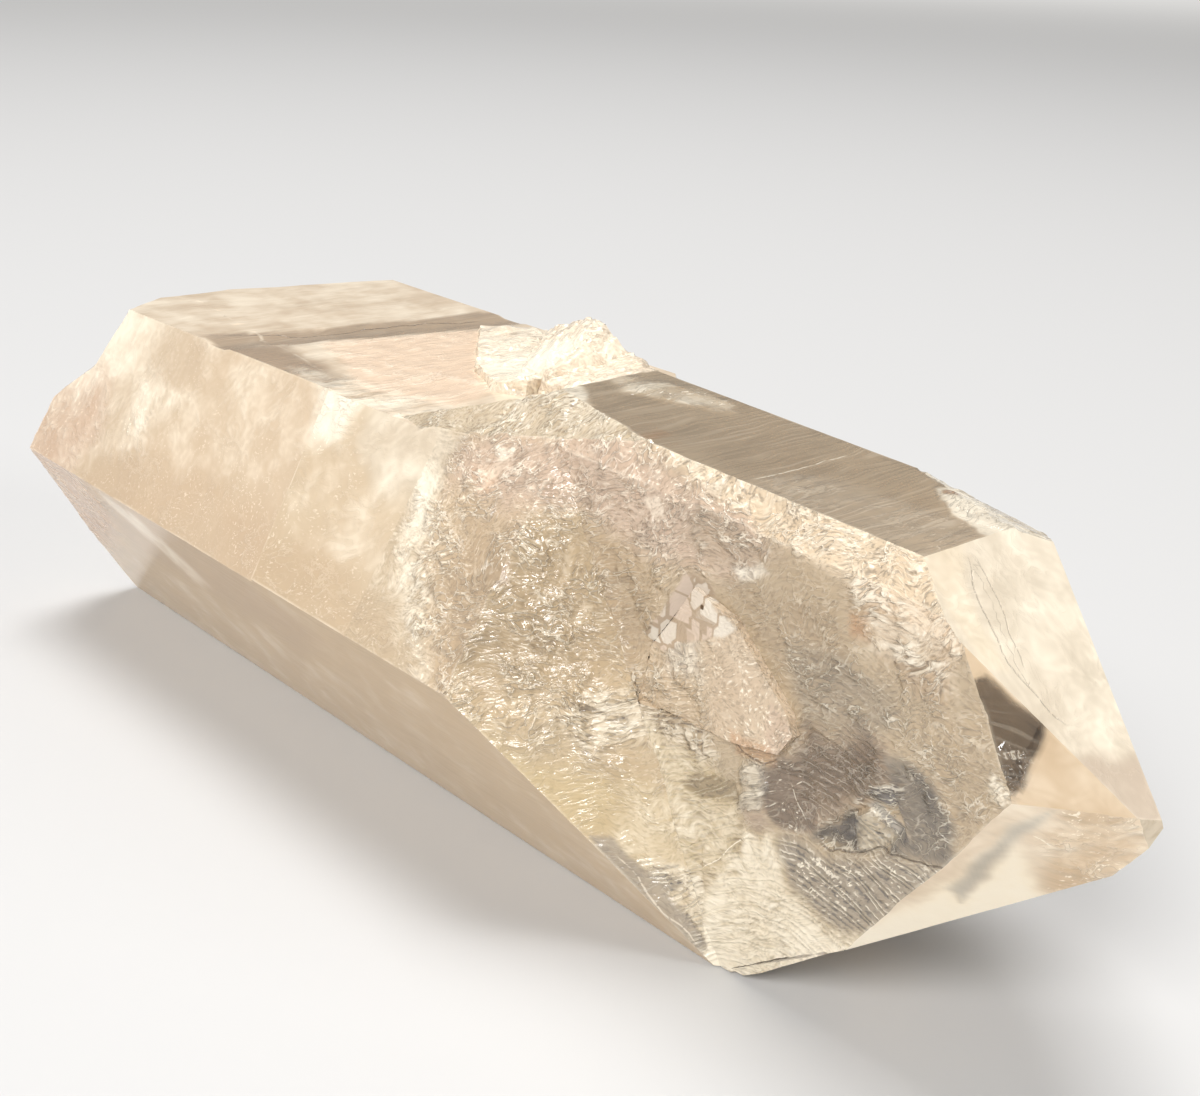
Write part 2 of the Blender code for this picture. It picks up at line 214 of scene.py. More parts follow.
def falling_plane(start, end, drop, backwards):
    """Plane that falls away from a level line on the top face."""
    along = (Vector(end) - Vector(start)).normalized()
    away = Vector((-along.y, along.x, 0.0))
    if (away.y > 0) != backwards:
        away.negate()
    slope = math.radians(drop)
    normal = away * math.sin(slope) + Vector((0.0, 0.0, math.cos(slope)))
    return point_plane((start[0], start[1], FACE["top"][2]), normal)


def placed(name, data):
    """A new object in the scene."""
    item = bpy.data.objects.new(name, data)
    bpy.context.scene.collection.objects.link(item)
    return item


def convex_mesh(name, planes):
    """Closed convex mesh: a block cut by each (point, outward normal)."""
    bm = bmesh.new()
    bmesh.ops.create_cube(bm, size=BLOCK)
    for point, normal in planes:
        geometry = bm.verts[:] + bm.edges[:] + bm.faces[:]
        cut = bmesh.ops.bisect_plane(
            bm, geom=geometry, plane_co=point, plane_no=normal,
            clear_outer=True, dist=CUT_GAP)
        rim = [item for item in cut["geom_cut"]
               if isinstance(item, bmesh.types.BMEdge)]
        bmesh.ops.holes_fill(bm, edges=rim)
    return closed_mesh(name, bm)


def closed_mesh(name, bm):
    """The finished bmesh as a mesh, its faces pointing out."""
    bmesh.ops.recalc_face_normals(bm, faces=bm.faces)
    mesh = bpy.data.meshes.new(name)
    bm.to_mesh(mesh)
    bm.free()
    return mesh


def hull_mesh(name, points):
    """The smallest convex mesh around some points."""
    bm = bmesh.new()
    for point in points:
        bm.verts.new(point)
    hull = bmesh.ops.convex_hull(bm, input=bm.verts)
    spare = {item for item in hull["geom_interior"] + hull["geom_unused"]
             if isinstance(item, bmesh.types.BMVert)}
    bmesh.ops.delete(bm, geom=list(spare), context="VERTS")
    return closed_mesh(name, bm)


BREAK_PLANES = (
    point_plane((BREAK_X, 0.0, 0.0), (-1.0, 0.0, 0.0)),
    cross_plane(BREAK_HEEL, BREAK_CHIN),
    cross_plane(BREAK_NOSE, BREAK_RIM),
    point_plane(BREAK_CORNER, BREAK_CORNER_WAY),
)
LEDGE_PLANE = falling_plane(LEDGE_HINGE_A, LEDGE_HINGE_B, LEDGE_DROP, False)
CHIP_PLANE = falling_plane(CORNER_CHIP_A, CORNER_CHIP_B, CORNER_CHIP_DROP, True)
TIP_WAY = Vector((1.0, -0.35, -0.15)).normalized()


def cutters():
    """What is cut away: steps, notch, ledge, the narrower rear and a bite at the break."""
    rear_top = behind("rear_top")
    return (
        convex_mesh("front_step", [
            behind("front_rear"),
            point_plane((FRONT_STEP_X, 0.0, 0.0), (1.0, 0.0, FRONT_STEP_SLOPE))]),
        convex_mesh("ledge_slope", [rear_top, flipped(LEDGE_PLANE)]),
        convex_mesh("rear_top", [
            rear_top, vertical_plane(LEDGE_FOOT, LEDGE_HINGE_A),
            point_plane((LEDGE_X, 0.0, 0.0), X_AXIS)]),
        convex_mesh("narrow_upper", [
            behind("back_upper_front"), behind("riser_upper")]),
        convex_mesh("narrow_lower", [
            behind("back_lower_front"), behind("riser_lower")]),
        convex_mesh("notch", [
            point_plane((0.0, NOTCH_Y, 0.0), (0.0, 1.0, 0.0)),
            behind("notch_rear")]),
        convex_mesh("bite", [
            flipped(point_plane(BITE_CORNER, BITE_FLOOR)),
            flipped(point_plane(BITE_CORNER, BITE_WALL))]),
    )


def fillers():
    """What stands out: the plate, a swell of the wall and the stub of a second crystal."""
    plate = []
    for x, z in PLATE_OUTLINE:
        plate.append((x, NOTCH_Y - PLATE_RISE, z))
        plate.append((x, NOTCH_Y + PLATE_ROOT, z))
    bodies = [hull_mesh("plate", plate), hull_mesh("swell", SWELL)]
    for name, (foot, top) in STUB_PARTS.items():
        points = [(x, y, STUB_FOOT_Z) for x, y in foot]
        points.extend(top)
        bodies.append(hull_mesh(name, points))
    return bodies


def faceted_crystal():
    """The crystal with flat faces, as one closed mesh."""
    planes = [face_plane(name) for name in CONVEX]
    planes.extend(BREAK_PLANES)
    planes.append(CHIP_PLANE)
    planes.append((TIP_WAY * -TIP_CHIP, TIP_WAY))
    body = placed("body", convex_mesh("body", planes))
    tools = []
    for operation, meshes in (("DIFFERENCE", cutters()), ("UNION", fillers())):
        for mesh in meshes:
            tool = placed(mesh.name, mesh)
            tools.append(tool)
            step = body.modifiers.new(mesh.name, "BOOLEAN")
            step.solver = "EXACT"
            step.operation = operation
            step.object = tool
    graph = bpy.context.evaluated_depsgraph_get()
    mesh = bpy.data.meshes.new_from_object(body.evaluated_get(graph))
    for item in tools + [body]:
        bpy.data.objects.remove(item)
    return mesh


# ---- Surfaces: which face belongs to which, and the fine grid ----
REGIONS = (
    "other", "wall", "plate", "plate_side", "ledge", "stub", "break", "chip",
) + tuple(FACE)
CODE = {name: index for index, name in enumerate(REGIONS)}


SAME_WAY = 0.9995        # least cosine between a face and the plane that it lies on
SAME_PLACE = 0.03        # mm between them at most
# where the surfaces without a plane of their own lie (mm)
BREAK_AREA_X = -235.0
STUB_AREA_X = (-200.0, -118.0)
STUB_AREA_Y = 5.0
STUB_AREA_Z = 10.0
PLATE_AREA_X = (-86.0, -50.0)


def on_plane(face, plane):
    point, normal = plane
    if face.normal.dot(normal) < SAME_WAY:
        return False
    return abs((face.calc_center_median() - point).dot(normal)) < SAME_PLACE


def region_of(face):
    """The name of the surface that a face belongs to."""
    named = {
        "wall": point_plane((0.0, NOTCH_Y, 0.0), (0.0, -1.0, 0.0)),
        "plate": point_plane((0.0, NOTCH_Y - PLATE_RISE, 0.0), (0.0, -1.0, 0.0)),
        "ledge": LEDGE_PLANE,
        "chip": CHIP_PLANE,
    }
    for name, plane in named.items():
        if on_plane(face, plane):
            return name
    for name in FACE:
        if on_plane(face, face_plane(name)):
            return name
    spot = face.calc_center_median()
    if spot.x < BREAK_AREA_X and face.normal.x < -0.3:
        return "break"
    low, high = STUB_AREA_X
    if low < spot.x < high and spot.y > STUB_AREA_Y and spot.z > STUB_AREA_Z:
        return "stub"
    low, high = PLATE_AREA_X
    if low < spot.x < high and spot.y < NOTCH_Y and abs(face.normal.y) < 0.5:
        return "plate_side"
    return "other"


def slice_region(bm, layer, code, directions, spacing):
    """Cuts one region's faces along parallel planes in each direction."""
    for direction in directions:
        chosen = [f for f in bm.faces if f[layer] == code]
        if not chosen:
            return
        reach = [v.co.dot(direction) for f in chosen for v in f.verts]
        low, high = min(reach), max(reach)
        count = max(1, round((high - low) / spacing))
        for step in range(1, count):
            edges = {edge for f in chosen for edge in f.edges}
            verts = {vert for f in chosen for vert in f.verts}
            level = low + (high - low) * step / count
            cut = bmesh.ops.bisect_plane(
                bm, geom=list(verts) + list(edges) + chosen, dist=CUT_GAP,
                plane_co=direction * level, plane_no=direction)
            chosen = [item for item in cut["geom"] if isinstance(item, bmesh.types.BMFace)
                      and item.calc_center_median().dot(direction) > level]
            if not chosen:
                break


def halve(bm, layer):
    """Splits every edge of the surfaces with the finest relief in two."""
    codes = {CODE[name] for name in HALVED}
    edges = set()
    for face in bm.faces:
        limit = HALVED_STUB_X if face[layer] == CODE["stub"] else HALVED_FROM_X
        if face[layer] in codes and face.calc_center_median().x > limit:
            edges.update(face.edges)
    bmesh.ops.subdivide_edges(bm, edges=list(edges), cuts=1, use_grid_fill=True)


def gridded_crystal():
    """The faceted crystal with every surface marked and cut into its grid."""
    mesh = faceted_crystal()
    bm = bmesh.new()
    bm.from_mesh(mesh)
    bmesh.ops.dissolve_limit(bm, angle_limit=FLAT_ANGLE, verts=bm.verts, edges=bm.edges)
    bm.normal_update()
    layer = bm.faces.layers.int.new("region")
    for face in bm.faces:
        face[layer] = CODE[region_of(face)]
    for name, spacing in GRID.items():
        directions = (X_AXIS, Vector((0.0, 0.7071, 0.7071)))
        if name in FACE:
            directions = (X_AXIS, face_normal(FACE[name][0] + 90))
        if name in ("wall", "plate"):
            directions = (X_AXIS, Z_AXIS)
        if name == "break":
            directions = (Vector((0.0, 1.0, 0.0)), Z_AXIS)
        slice_region(bm, layer, CODE[name], directions, spacing)
    halve(bm, layer)
    bm.to_mesh(mesh)
    bm.free()
    return mesh


# ---- Noise on arrays of points -----------------------------------
def lattice(cells, seed):
    """A repeatable pseudo-random gradient for each whole-number cell."""
    h = (cells[:, 0] * 73856093) ^ (cells[:, 1] * 19349663) ^ (cells[:, 2] * 83492791)
    h = (h + seed * 2654435761) & 0xFFFFFFFF
    h = ((h ^ (h >> 15)) * 2246822519) & 0xFFFFFFFF
    h = ((h ^ (h >> 13)) * 3266489917) & 0xFFFFFFFF
    h = h ^ (h >> 16)
    turn = (h & 0xFFFF) / 65536.0 * 2.0 * math.pi
    level = ((h >> 16) & 0xFFFF) / 32768.0 - 1.0
    side = np.sqrt(np.maximum(0.0, 1.0 - level * level))
    return np.stack((np.cos(turn) * side, np.sin(turn) * side, level), axis=1)


def noise(points, size, seed=0):
    """Gradient noise from about -1 to 1, with features of size mm."""
    spots = points / size + 100.37
    cells = np.floor(spots).astype(np.int64)
    part = spots - cells
    ease = part * part * part * (part * (part * 6.0 - 15.0) + 10.0)
    total = np.zeros(len(points))
    for corner in range(8):
        offset = np.array((corner & 1, (corner >> 1) & 1, corner >> 2))
        weight = np.prod(np.where(offset, ease, 1.0 - ease), axis=1)
        slope = lattice(cells + offset, seed)
        total += weight * np.sum(slope * (part - offset), axis=1)
    return total * 1.6


def cloud(points, size, seed=0, octaves=3):
    total = np.zeros(len(points))
    for octave in range(octaves):
        total += noise(points, size / 2.0 ** octave, seed + octave * 17) / 2.0 ** octave
    return total / 1.5


def ridges(points, size, seed=0):
    """Thin crests: 1 on a crest, falling to 0 and below between them."""
    return 1.0 - 3.0 * np.abs(noise(points, size, seed))


def smooth(values, low, high):
    t = np.clip((values - low) / (high - low), 0.0, 1.0)
    return t * t * (3.0 - 2.0 * t)


def warp(points, size, amount, seed):
    """The points moved about by noise, so that what is built on them is uneven."""
    moves = [noise(points, size, seed + axis * 31) for axis in range(3)]
    return points + amount * np.stack(moves, axis=1)


def blob(points, centre, radii):
    """1 at the centre of an ellipsoid, 0 on it and beyond."""
    way = (points - np.array(centre)) / np.array(radii)
    return np.clip(1.0 - np.sum(way * way, axis=1), 0.0, 1.0)


# ---- Outlines and lines on a surface, from points given as two columns ----
def to_segments(flat, line):
    """Distance to a line of points, with its sign by side and how far along it is."""
    best = np.full(len(flat), 1e9)
    sign = np.ones(len(flat))
    along = np.zeros(len(flat))
    done = 0.0
    for start, end in zip(line[:-1], line[1:]):
        start, way = np.array(start), np.array(end) - np.array(start)
        length = math.hypot(*way)
        part = np.clip((flat - start) @ way / length ** 2, 0.0, 1.0)
        off = flat - start - part[:, None] * way
        far = np.hypot(off[:, 0], off[:, 1])
        nearer = far < best
        side = np.sign(way[0] * off[:, 1] - way[1] * off[:, 0])
        sign[nearer] = side[nearer]
        along[nearer] = (done + part * length)[nearer]
        best[nearer] = far[nearer]
        done += length
    return best, sign, along / done


def depth_inside(flat, outline):
    """How far inside an outline each point lies, negative outside."""
    ring = list(outline) + [outline[0]]
    far = to_segments(flat, ring)[0]
    odd = np.zeros(len(flat), bool)
    for (ax, ay), (bx, by) in zip(ring[:-1], ring[1:]):
        spans = (ay > flat[:, 1]) != (by > flat[:, 1])
        rise = by - ay if by != ay else 1e-9
        cross = ax + (flat[:, 1] - ay) * (bx - ax) / rise
        odd ^= spans & (flat[:, 0] < cross)
    return np.where(odd, far, -far)


def inside(flat, outline, low, high):
    """0 where a point lies less than low mm inside an outline, 1 from high mm on."""
    return smooth(depth_inside(flat, outline), low, high)


# ---- Zones: what the crystal is like from place to place ---------
# Shares in hundredths.  milk: white inner cloud, smoke: dark and see-through, clear: plain
# glass, rough: etched dull with painted shade in its pits, crinkle: fine ridges with painted
# highlights on their crests and painted shade beside them, streak: fine lines, fleck: small
# white spots, the others: tints; gold also paints a glow of light on the notch's lower walls.
KINDS = ("milk", "smoke", "tan", "gold", "pink", "clear", "rough", "crinkle",
         "streak", "fleck", "orange", "cool")
PLAIN = dict(milk=30, smoke=5, tan=30, clear=35, rough=12, streak=20, fleck=10)
SURFACE = {
    "top": dict(milk=0, smoke=34, tan=45, clear=55, rough=6, streak=80, fleck=0),
    "rear_top": dict(milk=50, smoke=3, tan=20, pink=35, clear=30, streak=60),
    "front": dict(milk=36, tan=32, clear=30, fleck=40, pink=12, crinkle=22),
    "front_rear": dict(milk=36, clear=30, fleck=40, pink=28, crinkle=22),
    "lower_front": dict(milk=20, smoke=0, tan=70, gold=60, clear=25, streak=50, fleck=0, pink=25,
                orange=10),
    "point_top": dict(milk=50, smoke=0, tan=10, clear=25, crinkle=15, streak=10, cool=35),
    "point_front": dict(smoke=0, tan=60, gold=30, clear=30, streak=30, pink=20, orange=10),
    "point_lower": dict(milk=50, smoke=0, pink=30, clear=20, streak=50, crinkle=5),
    "wall": dict(milk=7, tan=65, rough=20, crinkle=40, streak=40, fleck=15),
    "notch_rear": dict(milk=10, smoke=0, tan=55, gold=20, clear=30, rough=20, crinkle=60,
                fleck=20),
    "plate": dict(milk=26, tan=50, pink=30, clear=20, rough=40, crinkle=40, fleck=100),
    "plate_side": dict(milk=25, tan=50, pink=30, clear=15, rough=45, crinkle=50),
    "ledge": dict(milk=32, smoke=22, clear=30, rough=30, crinkle=100, fleck=40),
    "stub": dict(milk=62, pink=35, orange=5, clear=25, rough=20, crinkle=60, fleck=50),
    "break": dict(milk=40, tan=25, pink=45, rough=10, crinkle=50),
    "chip": dict(milk=60, smoke=20, clear=40, rough=10, crinkle=100, cool=20, fleck=50),
}
TOPS = ("top", "rear_top", "ledge", "stub", "point_top", "chip")    # x y outlines
WISPY = ("front", "front_rear", "lower_front", "rear_top")          # more wisps of milk
NOTCH = "front wall notch_rear"

ZONES = []
LINES = []


def zone(surfaces, soft, *outline, **shares):
    """What an outline holds (x z on the sides, x y on the tops), softly ended over soft mm."""
    ZONES.append((surfaces.split(), soft, outline, shares))


def line(surface, strength, *points):
    """A thin line: dark where its strength is below 0, pale above."""
    LINES.append((surface, strength, points))


OVAL = ((-62, -15.6), (-59.5, -12.6), (-56.6, -12.4), (-55.4, -16.5), (-56.3, -21),
        (-61.7, -23), (-60.8, -19))
WINDOW = ((-73, -24), (-71, -20.8), (-62.4, -18.2), (-61, -21.2), (-69.5, -24.6))

# the round, crinkled patch at the notch's rear, with a clearer middle
zone(NOTCH, 1.8, (-130, 19), (-131, 8), (-130, 2), (-123, -4), (-118, -10), (-110, -17.5),
     (-99, -21), (-90, -17), (-85, -9), (-84, 0), (-78, 10), (-66, 14), (-61, 22), (-63, 32),
     (-115, 32), milk=14, tan=80, crinkle=100, rough=35, clear=25, fleck=60)
zone(NOTCH, 4.0, (-119, 8), (-120, -1), (-108, -13), (-93, -13), (-84, 0), (-84, 8), (-98, 12),
     milk=4, tan=100, smoke=6, clear=35, crinkle=85, rough=25)
zone(NOTCH, 3.0, (-130, 19), (-129, 11), (-112, 12), (-98, 14), (-84, 12), (-66, 13), (-60, 22),
     (-62, 26), (-90, 26), (-100, 29), pink=80, tan=45, milk=14, crinkle=100, fleck=70, rough=35)
zone("wall", 1.6, (-76, 24), (-66, 22.6), (-61.5, 21.5), (-64.5, 15.3), (-70, 14.4), (-78, 17),
     smoke=26, tan=80, pink=50, milk=0, crinkle=100, fleck=20)
zone("notch_rear", 0.7, (-111, 3), (-110, 5), (-108, 4.4), (-107, 2.2), (-108.5, 1.2), pink=90,
     milk=50)
zone("notch_rear", 0.35, (-101, 2), (-101.8, 8.5), (-100.2, 8.2), (-99.6, 2.6), milk=45,
     crinkle=10, smoke=0)
zone("notch_rear", 0.35, (-97.6, -4.1), (-97, 0.2), (-95.2, -0.4), (-95.8, -4.3), milk=40,
     crinkle=10, smoke=0)
zone("front", 0.8, (-122, 18.8), (-117.6, 20.5), (-116.6, 18), (-120, 16.8), milk=70, fleck=100)
zone("front", 1.2, (-125, 13.5), (-121, 15.8), (-117.5, 14), (-120.8, 11.5), orange=40, milk=50,
     pink=90)
zone("wall", 1.2, (-92, 25.5), (-86, 28.4), (-82, 28.4), (-84, 23.6), (-89.5, 22.5), orange=55,
     milk=45, crinkle=60)
zone("wall", 0.6, (-87.2, 20.4), (-84.2, 21.8), (-82.2, 18.6), (-84.6, 17.4), milk=50, crinkle=20)
# the white rim of the patch
zone("front notch_rear", 2.6, (-133, 10), (-129.6, 9), (-128, 2), (-120.5, -5), (-115, -11),
     (-106, -18), (-109, -21), (-117, -15), (-125, -8), (-133, -1), milk=42, fleck=100,
     crinkle=100, rough=30)
zone("front", 2.5, (-157, 19), (-130.5, 19), (-132, 7), (-146, 4), (-156, 9), milk=50, tan=0,
     cool=18, smoke=6, fleck=30, streak=30)
zone("front", 2.2, (-136.5, 9), (-132.8, 9), (-131, 3), (-134.5, 1.5), milk=75, fleck=100,
     crinkle=80)
# the left end and the foot of the front
zone("front_rear", 5.0, (-262, 20), (-232, 20), (-236, 8), (-244, -2), (-262, -6), milk=70,
     pink=30)
zone("front_rear", 4.0, (-270, 0), (-245, 0), (-240, -12), (-248, -24), (-270, -24), pink=75,
     crinkle=50, rough=35, fleck=50, orange=10)
zone("front_rear", 4.5, (-236, 4), (-226, 2), (-222, -9), (-231, -10), milk=70, fleck=100,
     crinkle=80)
zone("front front_rear", 3.5, (-178, 22), (-160, 20), (-160, 8), (-171, 6), milk=80, fleck=100,
     crinkle=70, cool=15)
zone("front front_rear", 4.0, (-225, -10), (-190, -8), (-150, -7), (-122, -14), (-110, -30),
     (-260, -30), milk=5, tan=65)
zone("lower_front", 4.0, (-275, -10), (-222, -12), (-243, -36), (-266, -50), (-275, -50), pink=85,
     crinkle=60, rough=40, milk=25, fleck=50)
zone("lower_front", 4.0, (-240, -14), (-215, -12), (-150, -24), (-165, -36), (-236, -36), tan=90,
     smoke=12, milk=0, pink=40)
zone("lower_front", 2.5, (-236, -22), (-218, -20), (-196, -32), (-204, -36), milk=70, smoke=0)
# the crust below the top edge
zone("wall front", 1.2, (-100, 45), (-26, 45), (-26, 19), (-36, 20), (-46, 22.5), (-62, 23.6),
     (-76, 26), (-90, 28), (-100, 30), milk=28, fleck=100, crinkle=90, rough=60, clear=12,
     streak=0, tan=40, pink=15)
zone("wall", 2.0, (-44, 26), (-44, 21), (-38, 15), (-31, 11.5), (-26, 12), (-26, 30), milk=50,
     orange=20, fleck=100, crinkle=100, rough=45, streak=20)
zone("wall", 1.0, (-44.5, 18.5), (-41.5, 19), (-40.8, 15.8), (-43.4, 15.2), orange=60)
zone("wall", 0.8, (-67, 15.4), (-61.4, 19), (-60, 18), (-64.8, 13.8), milk=60, cool=30)
# the wall: olive middle, brown right, smoky core
zone("wall", 2.0, (-66.7, 12.3), (-59.9, 15.2), (-46.9, 18.6), (-43, 13.1), (-46, 8), (-52.6, 5),
     (-60.7, 5), smoke=9, tan=85, clear=40, crinkle=50, milk=2, fleck=30, streak=35, rough=35)
zone("wall", 2.0, (-54.7, 7.5), (-47.6, 11.3), (-36.4, 10.5), (-33.8, 5.4), (-40, 0.5),
     (-51.7, -1), smoke=24, tan=45, cool=8, streak=50, crinkle=90, fleck=60, milk=0, clear=45,
     rough=30)
zone("wall", 1.6, (-40, 14), (-30.7, 14), (-26, 11.5), (-17, 4.4), (-17, -1.7), (-21.1, -11.8),
     (-23.2, -5.2), (-27.5, -0.3), (-34.6, 5.1), tan=75, smoke=11, crinkle=80, streak=30,
     fleck=40, milk=5, rough=35)
zone("wall", 2.8, (-52, -5.6), (-50, -2), (-46, -3), (-40.4, 0.5), (-37, -0.5), (-36.4, -4.8),
     (-39.2, -9.5), (-43.4, -13), (-46.5, -17.5), (-50, -15), (-52, -10), smoke=44, clear=65,
     milk=0, pink=60, crinkle=55, fleck=35, rough=15, streak=75)
zone("wall", 0.9, (-56.5, -14.1), (-53.5, -9.5), (-51, -9), (-49, -11.5), (-45, -14.5),
     (-45.8, -18.8), (-51.4, -21.6), (-55.6, -20.7), smoke=50, clear=60, milk=0, pink=70,
     crinkle=50, fleck=100, rough=10)
zone("wall", 1.2, (-36.5, -1.5), (-31, -0.3), (-27.5, -1.5), (-23.2, -6.2), (-21.4, -12.3),
     (-26.8, -13.6), (-33.5, -15.5), (-30, -11.1), (-34, -7.7), smoke=45, clear=60, milk=0,
     cool=28, crinkle=100, tan=20, streak=30)
zone("wall", 1.0, (-46.4, -20.2), (-44.5, -17), (-40.4, -12.6), (-38.6, -12.8), (-38, -17.6),
     (-42, -19), smoke=80, cool=35, tan=0, milk=0, crinkle=100, clear=70, pink=0, fleck=60)
zone("wall", 0.45, (-38.4, -8.9), (-37.6, -7.2), (-33.2, -4.8), (-32.6, -7.4), (-34.6, -9.2),
     smoke=80, cool=35, tan=0, milk=0, crinkle=100, pink=0)
zone("wall", 0.45, (-33.8, -10.6), (-29.3, -11.4), (-32.2, -15.4), (-33.4, -13.6), smoke=70,
     cool=30, tan=10, milk=0, crinkle=60)
zone("wall", 0.7, (-39.4, -12.7), (-37.7, -11.3), (-34.9, -12.2), (-32.1, -12.9), (-34.2, -15.7),
     (-38.1, -17.9), (-39.2, -15.5), smoke=25, cool=25, gold=50, milk=20, tan=10, crinkle=30,
     streak=80, pink=0, rough=70)
zone("wall", 0.3, (-38.4, -10.3), (-37.1, -9.2), (-32.0, -11.2), (-32.4, -12.7), (-34.9, -12.0),
     smoke=30, cool=50, milk=15, tan=0, crinkle=10, pink=0)
# the feathery etch below the eye, fading to cream on the left
zone("wall", 1.8, (-52.8, -25.8), (-49, -22), (-44, -22), (-38.3, -18.6), (-33, -16),
     (-20, -12.6), (-24, -19.5), (-34, -29.6), (-41, -33), (-48, -31.5), smoke=36, milk=6, tan=25,
     cool=20, streak=100, fleck=80, crinkle=20, clear=40, gold=0, rough=20)
# the golden cream below: a painted glow of light coming through the crystal
zone("wall notch_rear", 2.0, (-53, -24), (-50, -31), (-42, -34), (-34, -30), (-38, -37.5),
     (-52, -50), (-66, -56), (-66, -30), (-58, -25), gold=60, milk=70, tan=5, smoke=0, streak=60,
     crinkle=35, fleck=40, rough=30)
zone("wall", 0.8, (-77, -31.4), (-71, -29.6), (-66, -29.2), (-60, -27), (-59.5, -30.5),
     (-67, -31.6), smoke=26, milk=0, tan=40, streak=80)
zone("wall", 1.2, (-61, -22.5), (-56, -21), (-53, -23), (-56.5, -26), smoke=25, pink=50, milk=0)
# veil left of the plate, and the rear wall whose lower part is painted golden as a glow of light
# coming through the crystal
zone("wall notch_rear", 1.8, (-94, -18), (-87, -12), (-78, -9.5), (-70, -12), (-67, -16),
     (-75, -20), (-88, -23), milk=40, crinkle=100, streak=100, fleck=60, rough=30)
zone("notch_rear wall", 2.5, (-108, -19), (-95, -24), (-83, -25), (-74, -29), (-76, -36),
     (-82, -36), (-100, -34), gold=75, tan=45, milk=5, crinkle=20, fleck=10)
zone("notch_rear wall", 2.0, (-81, -27), (-72, -27), (-64, -50), (-70, -46), (-80, -37), gold=50,
     tan=20, milk=35, crinkle=50)
zone("wall", 2.2, (-84, -17), (-70, -17), (-63, -19), (-60, -26), (-63, -36), (-72, -40), gold=60,
     tan=20, milk=45, smoke=0, streak=75, crinkle=35, fleck=30, rough=15)
zone("wall", 0.7, *WINDOW, smoke=24, clear=50, milk=0, tan=50, crinkle=15)
zone("wall", 0.5, *OVAL, milk=42, cool=20, crinkle=100, rough=50, streak=50, tan=20, fleck=100)
zone("notch_rear wall", 0.5, (-76, -38), (-70, -37.5), (-65.4, -38.8), (-64.2, -49.8), (-66, -47),
     milk=55, streak=100, crinkle=60, gold=30)
zone("notch_rear", 0.7, (-78, -41.5), (-73.5, -38.8), (-69.8, -40.5), (-71, -43), smoke=30,
     cool=25, milk=10)
zone("notch_rear", 0.35, (-83, -35.0), (-80.2, -35.2), (-73.5, -40.2), (-63.2, -48.6),
     (-63.4, -50.6), (-74.5, -43.6), smoke=36, cool=25, milk=5, gold=0, crinkle=20)
# the plate: like the wall at its rear, pale tip, bluish top and orange foot
zone("plate plate_side", 3.5, (-86, -16), (-67, -16), (-71, 3), (-86, 0), milk=16, tan=70,
     pink=10, crinkle=100, streak=60, fleck=60, clear=20, rough=30)
zone("plate_side", 1.0, (-87, -16), (-81, -15), (-80, 0), (-87, 0), crinkle=0, milk=45, clear=0,
     streak=0, fleck=0)
zone("plate", 0.6, (-56.5, -1), (-50, -4), (-50, -9.5), (-55.5, -9.8), (-57, -6), milk=25,
     pink=60, crinkle=50)
zone("plate", 1.6, (-80, -1), (-72, 1), (-70, -5), (-78, -6), cool=30, milk=45, crinkle=80,
     fleck=100)
zone("plate plate_side wall", 0.6, (-63.5, -9.6), (-55, -8.1), (-54, -12.2), (-63, -13.6),
     orange=40, tan=80, milk=10)
# the point's faces
zone("point_front", 0.5, (-24.4, 14.8), (-22.4, 16.6), (-14.9, 11.4), (-14.4, 8.0), (-14.4, 3.8),
     (-15.3, 2.4), (-18.2, 6.8), (-22.0, 10.7), smoke=68, clear=85, milk=0, tan=30, cool=20,
     streak=100, rough=2, pink=0)
zone("point_front", 0.8, (-19, 7), (-16.5, 8.5), (-14.4, 7), (-14.4, 3.8), (-15.3, 2.4),
     crinkle=80, fleck=70, cool=30)
zone("point_front wall", 0.5, (-18.4, 2.4), (-18, 5), (-15.6, 4.2), (-14.7, 2.3), (-15.9, 0.2),
     (-17.6, 0.2), milk=45, crinkle=100, tan=40, smoke=0)
zone("point_lower", 1.5, (-15.6, -4.5), (-20, -12), (-27, -22), (-40, -34), (-52, -46),
     (-46, -52), (-20, -28), (-14, -16), milk=85, pink=0, tan=0, gold=20, streak=20)
zone("point_lower", 0.8, (-15.9, -4.0), (-13.1, -0.4), (-11.6, 0.3), (-22.3, -20.2),
     (-23.0, -17.6), cool=60, milk=45, clear=40, pink=0, tan=0)
zone("point_lower", 2.5, (-12, -6), (-10, 1), (-4, 3), (2, 0), (-4, -12), (-13, -14), milk=35,
     tan=65, gold=30, pink=20, orange=12, crinkle=60, streak=70, fleck=80)
zone("point_top", 1.5, (-12, -9), (-6.5, 6), (2, 6), (2, -6), milk=12, tan=50, pink=30)
zone("point_top", 0.8, (-38, -1.5), (-32, -7), (-27, -8), (-21, -9), (-23, -12), (-40, -12),
     cool=12, tan=5, milk=55)
# the top face: white clouds, orange spot, darker scratched front end
zone("top", 1.6, (-122, 8), (-108, 17), (-98, 16), (-93, 12), (-99, 9), (-112, 3), milk=55,
     smoke=15, fleck=100, crinkle=80)
zone("top", 1.2, (-128, -2), (-117, -1), (-110, -5), (-106, -10), (-112, -14), (-124, -10),
     milk=75, smoke=5, crinkle=100, fleck=80, rough=30)
zone("top", 1.2, (-93.4, -12.4), (-91, -12), (-91.5, -5), (-94, -6), orange=45)
zone("top", 2.6, (-71, -15), (-70, -4), (-62, 1), (-52, 4), (-40, 6), (-30, -2), (-30, -14),
     smoke=22, cool=12, tan=40, streak=100, rough=16, crinkle=30, fleck=30)
